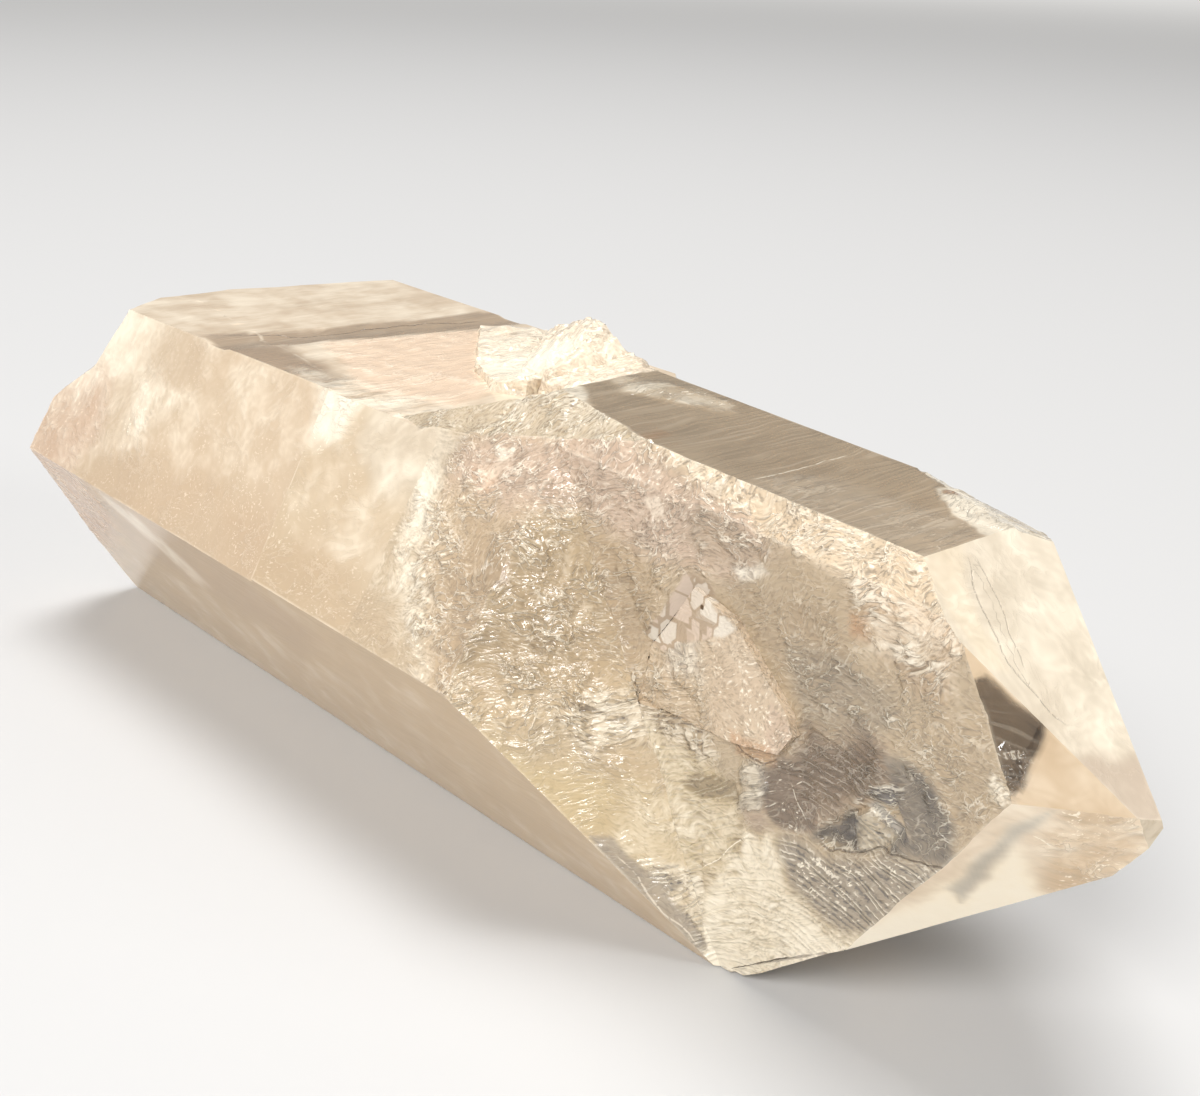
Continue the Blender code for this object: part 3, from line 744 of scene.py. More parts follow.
# the white chip at the top's corner: frosted white, with its brightest white a painted glint
zone("top chip", 0.6, (-52.5, 13.1), (-50.8, 16.5), (-41.9, 15.4), (-33.8, 13), (-33.7, 5.2),
     (-36.4, 2.6), (-45.4, 6.9), milk=85, smoke=10, crinkle=100, fleck=100, cool=15)
zone("top chip", 0.3, (-51.2, 12.8), (-50, 14.2), (-48.4, 13.4), (-49.6, 12), orange=80, milk=20)
# the rear top: a dark band along its step, smoky with painted shade, a clear zone in front, a
# dull patch
zone("rear_top", 1.2, (-222, -18), (-211, -18), (-203, 10), (-197, 50), (-208, 50), (-214, 12),
     smoke=30, milk=5, tan=40, streak=80, clear=45)
zone("rear_top", 2.5, (-214, -20), (-205, -6), (-190, -9), (-172, -14), (-172, -24), smoke=20,
     tan=60, milk=8, clear=50)
zone("rear_top", 1.0, (-205, 2), (-168, -13), (-150, -4), (-158, 16), (-196, 38), pink=60,
     milk=22, tan=30, rough=45, crinkle=50, clear=10)
zone("rear_top", 2.0, (-190, -14), (-150, -4), (-140, -8), (-152, -19), (-180, -24), milk=60,
     crinkle=80, fleck=60)
zone("stub", 3.0, (-167, 14), (-152, 12), (-150, 26), (-165, 28), milk=90, pink=10, orange=0,
     fleck=100)
MOSAIC = ((-86, -1.4), (-82, 3.0), (-77.5, 10.8), (-75.2, 12), (-71.6, 10.9), (-68.2, 7.9),
          (-63.4, 6.8), (-66.4, 4.0), (-74.8, -0.6), (-80.9, -2.8))
MOSAIC_SURFACES = ("wall", "plate", "plate_side")
MOSAIC_RIM = 1.5         # mm around the shards that has their material
SPECK = (-71.6, 7.5)
SPECK_RADIUS = 1.1

line("wall", -1.0, (-46.1, -19.9), (-43.0, -21.0), (-38.4, -18.4), (-34.1, -15.8), (-30.2, -14.9),
     (-26.8, -13.9), (-20.5, -12.6))
line("point_top", -0.4, (-35.1, -2.8), (-30.6, -5.9), (-26.6, -6.7), (-23.1, -7.8), (-19.4, -7.7),
     (-16.0, -6.2), (-12.9, -4.3))
line("point_top", -0.3, (-34.8, -1.5), (-31.9, -1.7), (-28.9, -2.8), (-25.4, -4.0), (-22.8, -4.8),
     (-20, -6.2))
line("wall", -0.4, (-68, -13), (-64, -12.6), (-59, -14.2))
# a painted shade line along the rear top's step
line("rear_top", -1.0, (-224, -18), (-216.5, -6.7), (-211.4, 1.7), (-208.7, 24), (-203, 45))
line("wall", -1.0, (-66, -9.8), (-63.8, -10.8), (-61.5, -12.4), (-57, -12.6), (-53.6, -10))
# a painted glint line above the eye's kite
line("wall", 1.0, (-37.4, -6.9), (-35.2, -5.9), (-33.0, -4.4))
line("wall", 1.0, (-51.9, -13.2), (-51, -14.8), (-50.2, -15.6), (-49, -16.8), (-48.1, -18))
line("wall", 1.0, (-66.5, -36.4), (-62.0, -29.7), (-57.3, -24.5))
line("notch_rear", 0.6, (-79.6, -36.4), (-71.0, -44.0), (-63.4, -49.8))
line("point_front", 1.0, (-22.6, 11.6), (-21.2, 11.2), (-19.6, 9.4), (-18.3, 8.3), (-15.2, 8.2))
line("point_front", 1.0, (-19.4, 8.2), (-17.2, 7.6), (-14.6, 7.4))
line("point_lower", 1.0, (-13.2, -4.0), (-12.4, -4.8), (-11.6, -5.9))
line("point_lower", 1.0, (-9.6, 1.6), (-8.6, 1.2), (-7.8, 0.7))
line("top", 1.0, (-69.9, -9.5), (-69.6, -2), (-69.5, 12.7))


def flat_of(name, points):
    """A surface's own two coordinates: x y on the tops, x z elsewhere."""
    return points[:, :2] if name in TOPS else points[:, ::2]


def contents(name, points):
    """Share of every kind for points of one surface."""
    count = len(points)
    start = PLAIN | SURFACE.get(name, {})
    share = {kind: np.full(count, start.get(kind, 0) / 100.0) for kind in KINDS}
    shift = warp(points, 16.0, 2.6, 211) - points
    shift += warp(points, 3.5, 1.1, 213) - points
    for surfaces, soft, outline, values in ZONES:
        if name not in surfaces:
            continue
        flat = flat_of(name, points + shift * min(1.0, 0.15 + soft / 2.5))
        mask = inside(flat, outline, -soft, soft)
        for kind, value in values.items():
            share[kind] += mask * (value / 100.0 - share[kind])
    haze = cloud(points, 26.0, 221)
    wisp = cloud(warp(points, 10.0, 5.0, 223), 8.0, 225, 4)
    flaky = smooth(cloud(warp(points, 6.0, 2.0, 235), 5.5, 231), -0.30, 0.30)
    share["milk"] += 0.20 * haze + (0.34 if name in WISPY else 0.20) * wisp
    share["tan"] += 0.25 * cloud(points, 17.0, 227)
    share["smoke"] += 0.45 * share["smoke"] * cloud(points, 9.0, 229)
    share["crinkle"] *= 0.25 + 0.9 * flaky
    share["fleck"] *= 0.3 + 0.9 * smooth(cloud(points, 7.0, 233), -0.25, 0.25)
    if name == "wall":
        flat = flat_of(name, points)
        eye, kite = (inside(flat, outline, -0.5, 0.5) for outline in (EYE_PIT, EYE_KITE))
        share["crinkle"] = np.maximum(share["crinkle"], eye * (1.0 - kite))
    share["mosaic"] = np.zeros(count)
    share["speck"] = np.zeros(count)
    if name in MOSAIC_SURFACES:
        flat = flat_of(name, points + 0.5 * shift)
        share["mosaic"] = inside(flat, MOSAIC, -0.3, 0.3)
        far = np.hypot(flat[:, 0] - SPECK[0], flat[:, 1] - SPECK[1])
        share["speck"] = smooth(SPECK_RADIUS - far, 0.0, SPECK_RADIUS)
        for kind in ("fleck", "crinkle", "streak"):
            share[kind] *= 1.0 - 0.9 * share["mosaic"]
    return {kind: np.clip(values, 0.0, 1.0) for kind, values in share.items()}


def line_marks(name, points, pale):
    """Signed distance to the nearest thin line, and that line's strength here."""
    flat = flat_of(name, warp(warp(points, 5.0, 0.7, 241), 1.6, 0.2, 243))
    distance = np.full(len(points), 9.0)
    present = np.zeros(len(points))
    for surface, strength, way in LINES:
        if name != surface or (strength > 0.0) != pale:
            continue
        far, sign, along = to_segments(flat, way)
        here = far < np.abs(distance)
        distance[here] = (far * sign)[here]
        ends = smooth(along, 0.0, 0.12) * smooth(1.0 - along, 0.0, 0.12)
        present[here] = abs(strength) * ends[here]
    return distance, present


# the way that a surface's flakes and ridges run, where they run any way
FLOW = {                 # direction, and how much shorter lengths along it count
    "wall": ((0.87, 0.0, 0.49), 0.62), "plate": ((0.87, 0.0, 0.49), 0.5),
    "plate_side": ((0.87, 0.0, 0.49), 0.5), "notch_rear": ((0.69, 0.71, 0.13), 0.62),
    "front": ((0.89, 0.23, 0.40), 0.5), "ledge": ((0.49, 0.87, 0.0), 0.62),
    "top": ((0.0, 1.0, 0.0), 0.88), "rear_top": ((0.1, 0.99, 0.0), 0.8),
    "chip": ((0.49, 0.87, 0.0), 0.62), "stub": ((0.49, 0.87, 0.0), 0.5),
    "lower_front": ((1.0, 0.0, 0.0), 0.9), "point_lower": ((0.9, 0.0, -0.44), 0.8),
    "point_front": ((1.0, 0.0, 0.0), 0.5),
}


def flowing(name, points):
    """Uneven coordinates (mm) in which patterns come out long and wavy along the flow."""
    bent = warp(warp(points, 13.0, 3.0, 251), 3.6, 1.0, 247)
    if name not in FLOW:
        return bent
    way, press = FLOW[name]
    way = np.array(way) / math.hypot(*way)
    return bent - press * (bent @ way)[:, None] * way


def grain_way(name, points):
    """Coordinates across and along a surface's fine lines (mm)."""
    x, y, z = warp(points, 7.0, 1.0, 245).T
    if name == "lower_front":
        return z, x
    if name in ("wall", "plate", "notch_rear"):
        fan = 0.5 * np.clip((-40.0 - x) / 25.0, 0.0, 1.2) - 0.22
        return z - fan * (x + 42.0), x
    if name == "point_lower":
        return 0.44 * x + 0.9 * z, 0.9 * x - 0.44 * z
    if name == "point_front":
        return 0.25 * x + 0.97 * z + 0.03 * (x + 18.0) ** 2, x
    if name == "point_top":
        return 0.5 * x + 0.85 * y, 0.85 * x - 0.5 * y
    return x, y + z


# ---- Relief of each surface (mm, outwards) -----------------------
PATCH_CENTRE = (-98.0, -22.0, 2.0)      # of the flaky patch
PATCH_RADII = (36.0, 32.0, 34.0)
TERRACE = 3.0            # width of its rings, which step down towards its centre
EYE_PIT = ((-46.4, -20.2), (-44, -16), (-40.4, -12.2), (-38, -8), (-33, -5), (-31.5, -8),
           (-29, -11.5), (-33, -16), (-38, -18.5), (-43, -21))
EYE_KITE = ((-39.5, -12.6), (-37.7, -11.0), (-34.9, -12.2), (-32, -12.8), (-34.2, -15.6),
            (-38.1, -18.1))
CORE = ((-52, -5.6), (-50, -2), (-46, -3), (-40.4, 0.5), (-37, -0.5), (-36.4, -4.8),
        (-39.2, -9.5), (-43.4, -13), (-50, -15), (-52, -10))
CREASE = ((-66.2, -36), (-65.2, -39), (-64.6, -44), (-64.4, -52))


def crumple(points, flow, share):
    """Etched and flaky relief, as deep as the crinkle share says."""
    far = np.linalg.norm(warp(points, 10.0, 3.5, 71) - np.array(PATCH_CENTRE), axis=1)
    terraces = (far / TERRACE + 0.9 * cloud(flow, 3.0, 12)) % 1.0
    flaky = smooth(blob(points, PATCH_CENTRE, PATCH_RADII), 0.0, 0.4)
    flakes = flaky * (0.42 * terraces ** 2 + 0.10 * ridges(flow, 1.9, 15))
    fine = (1.0 - 0.6 * flaky) * (0.13 * ridges(flow, 1.5, 27) + 0.12 * ridges(flow, 2.8, 28))
    return share * (0.16 * cloud(points, 5.0, 9) + flakes + fine)


CORNER_X = -93.2         # where the notch's inner corner passes the height of the apex
CORNER_WAY = (-0.635, 0.0, 1.0)
FILL_DEPTH = 1.9
FILL_REACH = 8.0


def crease_fill(name, points):
    """Rounds the inner corner where the notch's two walls meet."""
    if name not in ("wall", "notch_rear"):
        return 0.0
    way = np.array(CORNER_WAY) / math.hypot(*CORNER_WAY)
    off = points - np.array((CORNER_X, NOTCH_Y, 0.0))
    off = off - (off @ way)[:, None] * way
    gap = np.linalg.norm(off, axis=1)
    ends = smooth(points[:, 2], -52.0, -42.0) * smooth(-points[:, 2], -20.0, -10.0)
    return FILL_DEPTH * ends * np.clip(1.0 - gap / FILL_REACH, 0.0, 1.0) ** 2


PLATE_SINK = -1.2
SINK_FROM, SINK_TO = 64.0, 80.0         # mm behind the apex


def plate_sink(points):
    """The plate stands proud at its tip alone, and runs into the wall behind."""
    return PLATE_SINK * smooth(-points[:, 0] - 0.5 * points[:, 2], SINK_FROM, SINK_TO)


# broad unevenness: how high and how wide its waves are (mm)
SWELL_HEIGHT = {"wall": 0.5, "notch_rear": 0.5, "ledge": 0.45, "stub": 0.6, "break": 1.1,
                "plate": 0.12}
SWELL_WIDTH = {"break": 18.0, "stub": 7.0}


def swell(points, name):
    """Broad unevenness of a surface."""
    waves = cloud(points, SWELL_WIDTH.get(name, 15.0), 60 + CODE[name])
    return SWELL_HEIGHT.get(name, 0.05) * waves


WALL_FORMS = (           # outline, height in it, and where its slope begins and ends
    (EYE_PIT, -1.5, -0.3, 1.6), (CORE, -0.45, -0.2, 1.0), (OVAL, 0.5, -0.2, 1.6),
    (WINDOW, -0.4, -0.2, 0.5),
)


def wall_forms(points):
    """The eye-shaped pit with its kite-shaped facet, windows, bumps and steps."""
    flat = flat_of("wall", warp(points, 4.0, 0.5, 43))
    side = np.clip((flat[:, 0] + 40.0) / 8.0, 0.0, 1.0)
    form = inside(flat, EYE_KITE, -0.2, 0.35) * (1.3 - 1.1 * side)
    for outline, height, low, high in WALL_FORMS:
        form += height * inside(flat, outline, low, high)
    off, sign = to_segments(flat, CREASE)[:2]
    form += 0.4 * smooth(off * sign, -0.5, 0.2) * smooth(8.0 - off, 0.0, 6.0)
    form += 0.35 * inside(flat, MOSAIC, -0.2, 0.3)
    return form


def relief_of(name, points, share):
    """How far one surface's points move out of its plane."""
    if name == "rest":
        return np.zeros(len(points))
    height = swell(points, name) + crumple(points, flowing(name, points), share["crinkle"])
    height += crease_fill(name, points)
    if name == "plate":
        height += plate_sink(points)
    if name == "wall":
        height += wall_forms(points)
    if name == "stub":
        height += 0.5 * ((points[:, 2] / 1.9 + 0.7 * cloud(points, 6.0, 91)) % 1.0)
    if name == "front_rear":
        step = points[:, 0] + 167.0 + 0.15 * points[:, 2] + 2.0 * noise(points, 14.0, 95)
        height += 0.35 * smooth(step, -0.6, 0.6)
    if name == "rear_top":
        step = points[:, 0] + 214.0 - 0.22 * points[:, 1] + 1.5 * noise(points, 12.0, 97)
        height -= 0.5 * smooth(step, -0.5, 0.5) * smooth(9.0 - step, 0.0, 3.0)
    across, along = grain_way(name, points)
    lines = np.stack((across, along / 14.0, np.zeros(len(points))), axis=1)
    return height + 0.03 * share["streak"] * noise(lines, 2.2, 99)


EDGE_FADE = 4.0          # mm over which an edge's sideways move dies away
EDGE_EASE = 0.02         # keeps an edge near its place where its surfaces hardly differ
MOST_MOVE, MOST_MOVE_CORNER = 1.8, 0.5    # mm
RIM_FAR = 12.0           # mm, as far from an edge as it is told apart
INNER = ("wall", "notch_rear", "plate", "plate_side")    # edges between these get no pale edge
TABLES = {               # what the materials read, four numbers to an attribute
    "shares": "milk smoke tan gold", "finish": "rough crinkle streak clear",
    "tints": "pink orange cool fleck", "lines": "across along dark dark_here",
    "extras": "mosaic speck pale pale_here",
}


def read(source, attribute, width=1, kind=float):
    """One attribute of a mesh's parts, as an array."""
    values = np.empty(len(source) * width, kind)
    source.foreach_get(attribute, values)
    return values.reshape(-1, width) if width > 1 else values


def regions_of(mesh):
    return read(mesh.attributes["region"].data, "value", kind=int)


def relieve(mesh):
    """Moves each surface along its normal; an edge goes where its surfaces meet."""
    spots = read(mesh.vertices, "co", 3)
    count = len(spots)
    corner_vert = read(mesh.loops, "vertex_index", kind=int)
    corner_face = np.repeat(np.arange(len(mesh.polygons)),
                            read(mesh.polygons, "loop_total", kind=int))
    corner_normal = read(mesh.polygons, "normal", 3)[corner_face]
    corner_region = regions_of(mesh)[corner_face]
    matrix = np.zeros((count, 3, 3))
    target = np.zeros((count, 3))
    surfaces, inner = np.zeros(count, int), np.zeros(count, int)
    tables = {name: np.zeros((len(corner_vert), 4)) for name in TABLES}
    grain = np.zeros((len(corner_vert), 3))
    for code in np.unique(corner_region):
        name = REGIONS[code]
        here = corner_region == code
        verts, back = np.unique(corner_vert[here], return_inverse=True)
        surfaces[verts] += 1
        inner[verts] += name in INNER
        part = contents(name, spots[verts])
        height = relief_of(name, spots[verts], part)
        way = np.zeros((count, 3))
        np.add.at(way, corner_vert[here], corner_normal[here])
        way = way[verts]
        way /= np.linalg.norm(way, axis=1)[:, None]
        matrix[verts] += way[:, :, None] * way[:, None, :]
        target[verts] += way * height[:, None]
        part["across"], part["along"] = grain_way(name, spots[verts])
        part["dark"], part["dark_here"] = line_marks(name, spots[verts], False)
        part["pale"], part["pale_here"] = line_marks(name, spots[verts], True)
        for label, columns in TABLES.items():
            values = [part[column] for column in columns.split()]
            tables[label][here] = np.stack(values, axis=1)[back]
        grain[here] = flowing(name, spots[verts])[back]
    matrix += np.eye(3) * EDGE_EASE
    moves = np.linalg.solve(matrix, target[:, :, None])[:, :, 0]
    rim_gap, rim_vert = nearest_rim(spots, surfaces > 1)
    flat_way = point_normals(count, corner_vert, corner_normal)
    sideways = moves[rim_vert]
    sideways = sideways - (sideways * flat_way).sum(axis=1)[:, None] * flat_way
    fade = np.clip(1.0 - rim_gap / EDGE_FADE, 0.0, 1.0) ** 2 * (surfaces == 1)
    moves += sideways * fade[:, None]
    size = np.linalg.norm(moves, axis=1)
    most = np.where(surfaces > 2, MOST_MOVE_CORNER, MOST_MOVE)
    moves *= np.minimum(1.0, most / np.maximum(size, 1e-9))[:, None]
    mesh.vertices.foreach_set("co", (spots + moves).ravel())
    for label, table in tables.items():
        layer = mesh.attributes.new(label, "FLOAT_COLOR", "CORNER")
        layer.data.foreach_set("color", table.ravel())
    layer = mesh.attributes.new("spot", "FLOAT_VECTOR", "CORNER")
    layer.data.foreach_set("vector", grain.ravel())
    layer = mesh.attributes.new("rim", "FLOAT", "POINT")
    rim_gap = np.where((inner == surfaces)[rim_vert], RIM_FAR, np.minimum(rim_gap, RIM_FAR))
    layer.data.foreach_set("value", rim_gap)


def point_normals(count, corner_vert, corner_normals):
    """Each point's normal, as the mean of its faces'."""
    total = np.zeros((count, 3))
    np.add.at(total, corner_vert, corner_normals)
    return total / np.maximum(np.linalg.norm(total, axis=1), 1e-9)[:, None]


def nearest_rim(spots, on_rim):
    """How far each point is from the nearest edge between two surfaces (mm), and where."""
    tree = KDTree(int(on_rim.sum()))
    for index in np.flatnonzero(on_rim):
        tree.insert(spots[index], int(index))
    tree.balance()
    found = [tree.find(spot)[1:] for spot in spots]
    return np.array([gap for _, gap in found]), np.array([index for index, _ in found])


# ---- Material ----------------------------------------------------
CREAM = (0.92, 0.77, 0.55)
CREAM_DEEP = (0.83, 0.66, 0.45)
TAN = (0.75, 0.56, 0.36)
# golden tone, also the painted glow on the notch's lower walls
GOLD = (0.88, 0.69, 0.40)
PINK = (0.84, 0.62, 0.47)
ORANGE = (0.80, 0.42, 0.20)
# smoky tone, and the colour that the painted shade mixes towards
SMOKE_AND_SHADE = (0.23, 0.185, 0.14)
COOL = (0.50, 0.56, 0.62)
WHITE = (0.98, 0.89, 0.73)
# colour of the dark lines: cracks and veins, and painted shade
CRACK_AND_SHADE = (0.16, 0.12, 0.09)
PLATE_PINK = (0.86, 0.68, 0.53)
PLATE_PALE = (0.97, 0.86, 0.71)
PLATE_GAP = (0.60, 0.45, 0.31)
RUST = (0.12, 0.06, 0.02)


class Value:
    """A node's output, with the sums that can be done on it."""

    def __init__(self, graph, socket):
        self.graph, self.socket = graph, socket

    def __add__(self, other):
        return self.graph.maths("ADD", self, other)

    def __sub__(self, other):
        return self.graph.maths("SUBTRACT", self, other)

    def __mul__(self, other):
        return self.graph.maths("MULTIPLY", self, other)

    def __rsub__(self, other):
        return self.graph.maths("SUBTRACT", other, self)

    def __abs__(self):
        return self.graph.maths("ABSOLUTE", self)

    def capped(self):
        """Kept between 0 and 1."""
        self.socket.node.use_clamp = True
        return self


class Graph:
    """Short names for the shader nodes that the materials need."""

    def __init__(self, material):
        self.tree = material.node_tree

    def node(self, kind, values=(), **settings):
        """A new node; values go into its inputs, by number or name."""
        made = self.tree.nodes.new(kind)
        for key, value in settings.items():
            setattr(made, key, value)
        for key, value in dict(values).items():
            self.put(made.inputs[key], value)
        return made

    def put(self, socket, value):
        if isinstance(value, Value):
            self.tree.links.new(value.socket, socket)
        elif isinstance(value, tuple) and socket.type == "RGBA":
            socket.default_value = value + (1.0,)
        else:
            socket.default_value = value

    def output(self, node, key=0):
        return Value(self, node.outputs[key])

    def maths(self, operation, *values):
        return self.output(self.node("ShaderNodeMath", enumerate(values), operation=operation))

    def ramp(self, value, low, high, to_low=0.0, to_high=1.0):
        """A soft step from to_low to to_high."""
        return self.output(self.node("ShaderNodeMapRange", enumerate((value, low, high, to_low,
                                     to_high)), interpolation_type="SMOOTHSTEP"))

    def fall(self, value, low, high):
        return self.ramp(value, low, high, 1.0, 0.0)

    def most(self, *values):
        return self.maths("MAXIMUM", *values)

    def mix(self, factor, a, b):
        values = {0: factor, 6: a, 7: b}
        return self.output(self.node("ShaderNodeMix", values, data_type="RGBA"), 2)

    def attribute(self, name, key):
        return self.output(self.node("ShaderNodeAttribute", attribute_name=name), key)

    def four(self, name):
        """The four numbers of one attribute."""
        source = self.node("ShaderNodeAttribute", attribute_name=name)
        split = self.node("ShaderNodeSeparateColor", {0: self.output(source, "Color")})
        return [self.output(split, key) for key in range(3)] + [self.output(source, "Alpha")]

    def noise(self, vector, size, detail):
        values = {"Vector": vector, "Scale": 1.0 / size, "Detail": detail}
        return self.output(self.node("ShaderNodeTexNoise", values))

    def shards(self, vector, size, feature):
        """Angular cells."""
        values = {"Vector": vector, "Scale": 1.0 / size}
        return self.node("ShaderNodeTexVoronoi", values, feature=feature, distance="CHEBYCHEV")

    def ragged(self, share, noise, amount):
        """A share whose half-way places are broken up by noise."""
        change = (noise - 0.5) * 4.0 * amount
        return (share + share * (1.0 - share) * change).capped()

    def crest(self, value, width):
        """1 where a noise passes its middle, 0 at width from it: thin winding lines."""
        return self.fall(abs(value - 0.5), 0.0, width)


SMOOTH, ETCHED, PLATED = "smooth", "etched", "plated"
HATCH_STEP = 1.15        # mm between the lines of the feathery etch
SHARD = 4.4              # mm, size of the plate's thin shards
QUARTZ_IOR = 1.544
QUARTZ_TINT = (0.80, 0.62, 0.42)
QUARTZ_DENSITY = 9.0     # per m


def crystal_material(kind):
    """Smoky quartz: its smooth faces, its etched ones, or the etched one with thin shards."""
    material = bpy.data.materials.new("smoky_quartz_" + kind)
    material.use_nodes = True
    g = Graph(material)
    shader = material.node_tree.nodes["Principled BSDF"]
    even = kind == SMOOTH
    spot = g.attribute("spot", "Vector")
    milk, smoke, tan, gold = g.four("shares")
    rough, crinkle, streak, clear = g.four("finish")
    pink, orange, cool, fleck = g.four("tints")
    across, along, dark_line, dark_here = g.four("lines")
    mosaic, speck, pale_line, pale_here = g.four("extras")
    rim = g.attribute("rim", "Fac")

    # patterns at the crystal's own scale (mm)
    bend = g.noise(spot, 7.0 if even else 2.6, 2.0 if even else 1.0)
    small = g.noise(spot, 1.25 if even else 0.95, 0.0)
    fine = g.noise(spot, 0.45, 1.0)
    thread = {0: across, 1: along * (0.03 if even else 0.16)}
    thread = g.output(g.node("ShaderNodeCombineXYZ", thread))
    threads = g.noise(thread, 0.6 if even else 1.6, 1.0 if even else 0.0)
    if even:
        wave = threads
        hair, furrow = g.ramp(wave, 0.50, 0.64), g.ramp(wave, 0.50, 0.38)
    else:
        phase = across * (2.0 * math.pi / HATCH_STEP) + threads * 10.0 + fine * 4.0
        wave = g.maths("SINE", phase)
        hair, furrow = g.ramp(wave, 0.55, 0.95), g.ramp(wave, -0.1, -0.9)
    strands = streak * streak
    groups = bend if even else small
    hair = hair * g.ramp(groups, 0.40, 0.60) * strands
    furrow = furrow * g.ramp(groups, 0.62, 0.40) * strands
    jag = (fine - 0.5) * 0.28
    # crest lines of the crinkle: raised in the bump, and painted pale in the colour as highlights
    # on the crests
    ridge_and_glint = g.most(g.crest(bend + jag * 0.4, 0.028), g.crest(small + jag, 0.045))
    ridge_and_glint = ridge_and_glint * crinkle * g.ramp(bend, 0.3, 0.6, 0.5, 1.0)
    shadow = g.crest(small + jag + 0.08, 0.04) * crinkle
    flecks = g.ramp(fine, 0.56, 0.68) * g.ramp(small, 0.40, 0.55) * fleck
    broken = g.ramp(fine, 0.30, 0.5)
    # dark lines: cracks and veins, and a painted shade line along the rear top's step
    crack_and_shade_line = g.fall(abs(dark_line), 0.05, 0.22) * dark_here * broken
    # pale lines: white cracks and fine lines, and a painted glint line above the kite
    crack_and_glint_line = g.fall(abs(pale_line), 0.04, 0.18) * pale_here * broken
    # pale edges: partly chipped edges, partly a painted highlight where edges catch the light
    chipped_and_lit_edge = g.fall(rim, 0.05, 0.6) * g.ramp(bend, 0.3, 0.7)

    # colour
    colour = g.mix(bend, CREAM, CREAM_DEEP)
    for share, tint in ((tan, TAN), (gold, GOLD), (pink, PINK), (orange, ORANGE)):
        colour = g.mix(share, colour, tint)
    uneven = crinkle * 1.8 + 0.25
    # darker holds the smoke share, the hatch's furrows and, on etched faces, painted shade:
    # darker between the ridges, a painted shadow line beside each crest and shade in the pits of
    # frosted parts
    darker = g.ragged(smoke, bend * 0.5 + small * 0.5, uneven)
    darker = (darker + furrow * (0.25 if even else 0.55)).capped()
    if not even:
        shade = g.ramp(bend, 0.50, 0.30) * crinkle
        pit_shade = g.ramp(fine, 0.46, 0.34) * rough
        for extra in (shade * 0.25, shadow * 0.30, pit_shade * 0.7):
            darker = (darker + extra).capped()
    colour = g.mix(darker, colour, SMOKE_AND_SHADE)
    colour = g.mix(cool * 0.6, colour, COOL)
    grit = bend * 0.7 + small * 0.3 if even else small * 0.4 + fine * 0.6
    white = g.ramp(g.ragged(milk, grit, uneven + 0.35), 0.1, 1.05) * 0.9
    # pale marks: white milk, painted highlights on the crests, flecks, pale edges, pale lines and
    # hairs
    for extra in (ridge_and_glint * 0.8, flecks * 0.85, chipped_and_lit_edge * 0.4, crack_and_glint_line * 0.9,
                  hair * (0.25 if even else 0.75)):
        white = g.most(white, extra)
    colour = g.mix(white, colour, WHITE)
    if kind == PLATED:
        place = g.output(g.node("ShaderNodeTexCoord"), "Object")
        nearest, second = (g.shards(place, SHARD * MM, feature) for feature in ("F1", "F2"))
        gap = g.output(second, "Distance") - g.output(nearest, "Distance")
        chips = g.mix(g.ramp(g.output(nearest, "Color"), 0.25, 0.75), PLATE_PINK, PLATE_PALE)
        chips = g.mix(g.fall(gap, 0.05, 0.13), chips, PLATE_GAP)
        colour = g.mix(mosaic, colour, chips)
        colour = g.mix(g.ramp(speck + jag, 0.45, 0.7), colour, RUST)
    colour = g.mix(crack_and_shade_line * 0.6, colour, CRACK_AND_SHADE)

    # gloss and glass
    dull = rough * 0.5 + 0.04 + (small - 0.45) * 0.2
    dull = g.most(g.most(dull, flecks * 0.4), 0.04)
    glass = (clear - white * 0.35).capped()

    # relief finer than the mesh (mm)
    height = wave * streak * (0.05 if even else 0.07)
    if not even:
        height = height + fine * rough * 0.45
    height = height + (bend + small * 0.6) * 0.55 * crinkle + ridge_and_glint * 0.16 - crack_and_shade_line * 0.2
    bump = g.node("ShaderNodeBump", {"Height": height, "Strength": 1.0, "Distance": MM})
    for key, value in (("Base Color", colour), ("Roughness", dull), ("IOR", QUARTZ_IOR),
                       ("Transmission Weight", glass), ("Normal", g.output(bump))):
        g.put(shader.inputs[key], value)
    absorb = {"Color": QUARTZ_TINT, "Density": QUARTZ_DENSITY}
    absorb = g.output(g.node("ShaderNodeVolumeAbsorption", absorb))
    g.put(material.node_tree.nodes["Material Output"].inputs["Volume"], absorb)
    return material


ETCHED_SURFACES = ("wall", "notch_rear", "plate", "plate_side", "ledge", "stub", "chip",
                   "other")


def finish_faces(mesh):
    """Gives each face the finish that its surface has."""
    mesh.materials.clear()
    for kind in (SMOOTH, ETCHED, PLATED):
        mesh.materials.append(crystal_material(kind))
    region = regions_of(mesh)
    centre = read(mesh.polygons, "center", 3)
    finish = np.isin(region, [CODE[name] for name in ETCHED_SURFACES]).astype(int)
    finish[(region == CODE["front"]) & (centre[:, 0] > HALVED_FROM_X)] = 1
    near = depth_inside(centre[:, ::2], MOSAIC) > -MOSAIC_RIM
    finish[near & np.isin(region, [CODE[name] for name in MOSAIC_SURFACES])] = 2
    mesh.polygons.foreach_set("material_index", finish)


# ---- The crystal, laid down --------------------------------------
def lay_down(mesh):
    """Brings the crystal into the frame (m) and keeps it inside the CAD's box."""
    turn = Matrix.Rotation(math.radians(AXIS_DIP), 4, "Y")
    mesh.transform(Matrix.Scale(MM, 4) @ Matrix.Translation(-BOX_MIDDLE) @ turn)
    low, high = cad_box
    for vert in mesh.vertices:
        for axis in range(3):
            vert.co[axis] = min(max(vert.co[axis], low[axis]), high[axis])


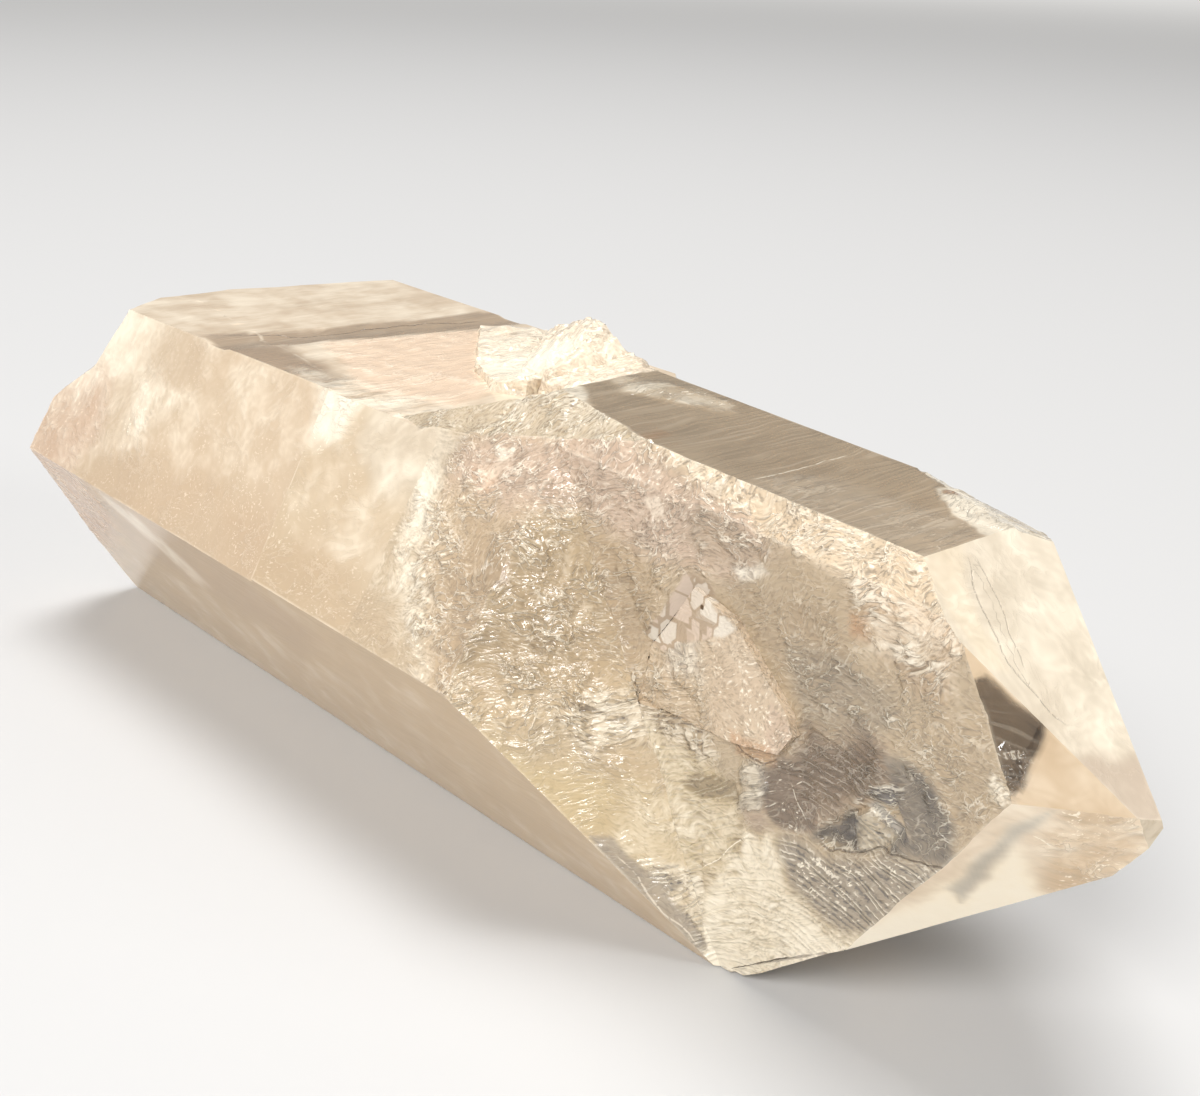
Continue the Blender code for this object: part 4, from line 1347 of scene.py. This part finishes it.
SHARP_ANGLE = 32.0       # degrees; a sharper edge isn't smoothed


def make_crystal():
    mesh = gridded_crystal()
    finish_faces(mesh)
    relieve(mesh)
    lay_down(mesh)
    mesh.polygons.foreach_set("use_smooth", [True] * len(mesh.polygons))
    mesh.set_sharp_from_angle(angle=math.radians(SHARP_ANGLE))
    mesh.name = "crystal"
    item = placed("crystal", mesh)
    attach(item, "root")
    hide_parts("quartz_point")
    return item


# ---- Floor, light and camera -------------------------------------
FLOOR_HALF = 20.0        # m
FLOOR_Z = -0.0002        # m, just below the crystal
FLOOR_GREY = (0.60, 0.595, 0.59)
FLOOR_GLOW = (1.0, 6.0, 0.0, 0.62)    # from and to (m), strength there


def make_floor():
    bm = bmesh.new()
    bmesh.ops.create_grid(bm, x_segments=1, y_segments=1, size=FLOOR_HALF)
    mesh = bpy.data.meshes.new("floor")
    bm.to_mesh(mesh)
    bm.free()
    material = bpy.data.materials.new("pale_floor")
    material.use_nodes = True
    shader = material.node_tree.nodes["Principled BSDF"]
    g = Graph(material)
    place = g.output(g.node("ShaderNodeTexCoord"), "Object")
    far = g.output(g.node("ShaderNodeVectorMath", {0: place}, operation="LENGTH"), "Value")
    g.put(shader.inputs["Base Color"], FLOOR_GREY)
    g.put(shader.inputs["Roughness"], 0.6)
    g.put(shader.inputs["Emission Color"], WORLD)
    g.put(shader.inputs["Emission Strength"], g.ramp(far, *FLOOR_GLOW))
    mesh.materials.append(material)
    floor = placed("floor", mesh)
    floor.location.z = FLOOR_Z


LIGHTS = {               # place (m), size (m), power (W)
    "key": ((0.9, -2.2, 2.0), 1.1, 80.0),
    "top": ((-0.9, 0.5, 2.9), 1.5, 75.0),
    "side": ((2.6, 1.2, 1.5), 1.0, 20.0),
}
WORLD = (0.90, 0.89, 0.87)
WORLD_STRENGTH = 0.22
BOUNCES = {"max": 6, "diffuse": 2, "glossy": 2, "transmission": 5}


def make_lights():
    for name, (place, size, power) in LIGHTS.items():
        data = bpy.data.lights.new(name, "AREA")
        data.shape = "SQUARE"
        data.size = size
        data.energy = power
        light = placed(name, data)
        light.location = place
        light.rotation_euler = (-Vector(place)).to_track_quat("-Z", "Y").to_euler()
    world = bpy.data.worlds.new("studio")
    world.use_nodes = True
    sky = world.node_tree.nodes["Background"]
    sky.inputs["Color"].default_value = WORLD + (1.0,)
    sky.inputs["Strength"].default_value = WORLD_STRENGTH
    scene = bpy.context.scene
    scene.world = world
    scene.view_settings.view_transform = "Standard"
    scene.view_settings.look = "None"
    for kind, count in BOUNCES.items():
        setattr(scene.cycles, kind + "_bounces", count)


CAMERA_PLACE = (0.22379, -0.19082, 0.15762)
CAMERA_HEADING = 137.78      # degrees from +X, seen from above
CAMERA_DIP = 20.84           # degrees below level
CAMERA_ROLL = 2.57
CAMERA_SENSOR = 36.0         # mm wide
CAMERA_LENS = 49.38          # mm


def make_camera():
    data = bpy.data.cameras.new("camera")
    data.sensor_width = CAMERA_SENSOR
    data.sensor_fit = "HORIZONTAL"
    data.lens = CAMERA_LENS
    data.clip_start = 0.01
    camera = placed("camera", data)
    turn = (Matrix.Rotation(math.radians(CAMERA_HEADING - 90.0), 4, "Z")
            @ Matrix.Rotation(math.radians(90.0 - CAMERA_DIP), 4, "X")
            @ Matrix.Rotation(math.radians(CAMERA_ROLL), 4, "Z"))
    camera.matrix_world = Matrix.Translation(CAMERA_PLACE) @ turn
    bpy.context.scene.camera = camera


make_crystal()
make_floor()
make_lights()
make_camera()
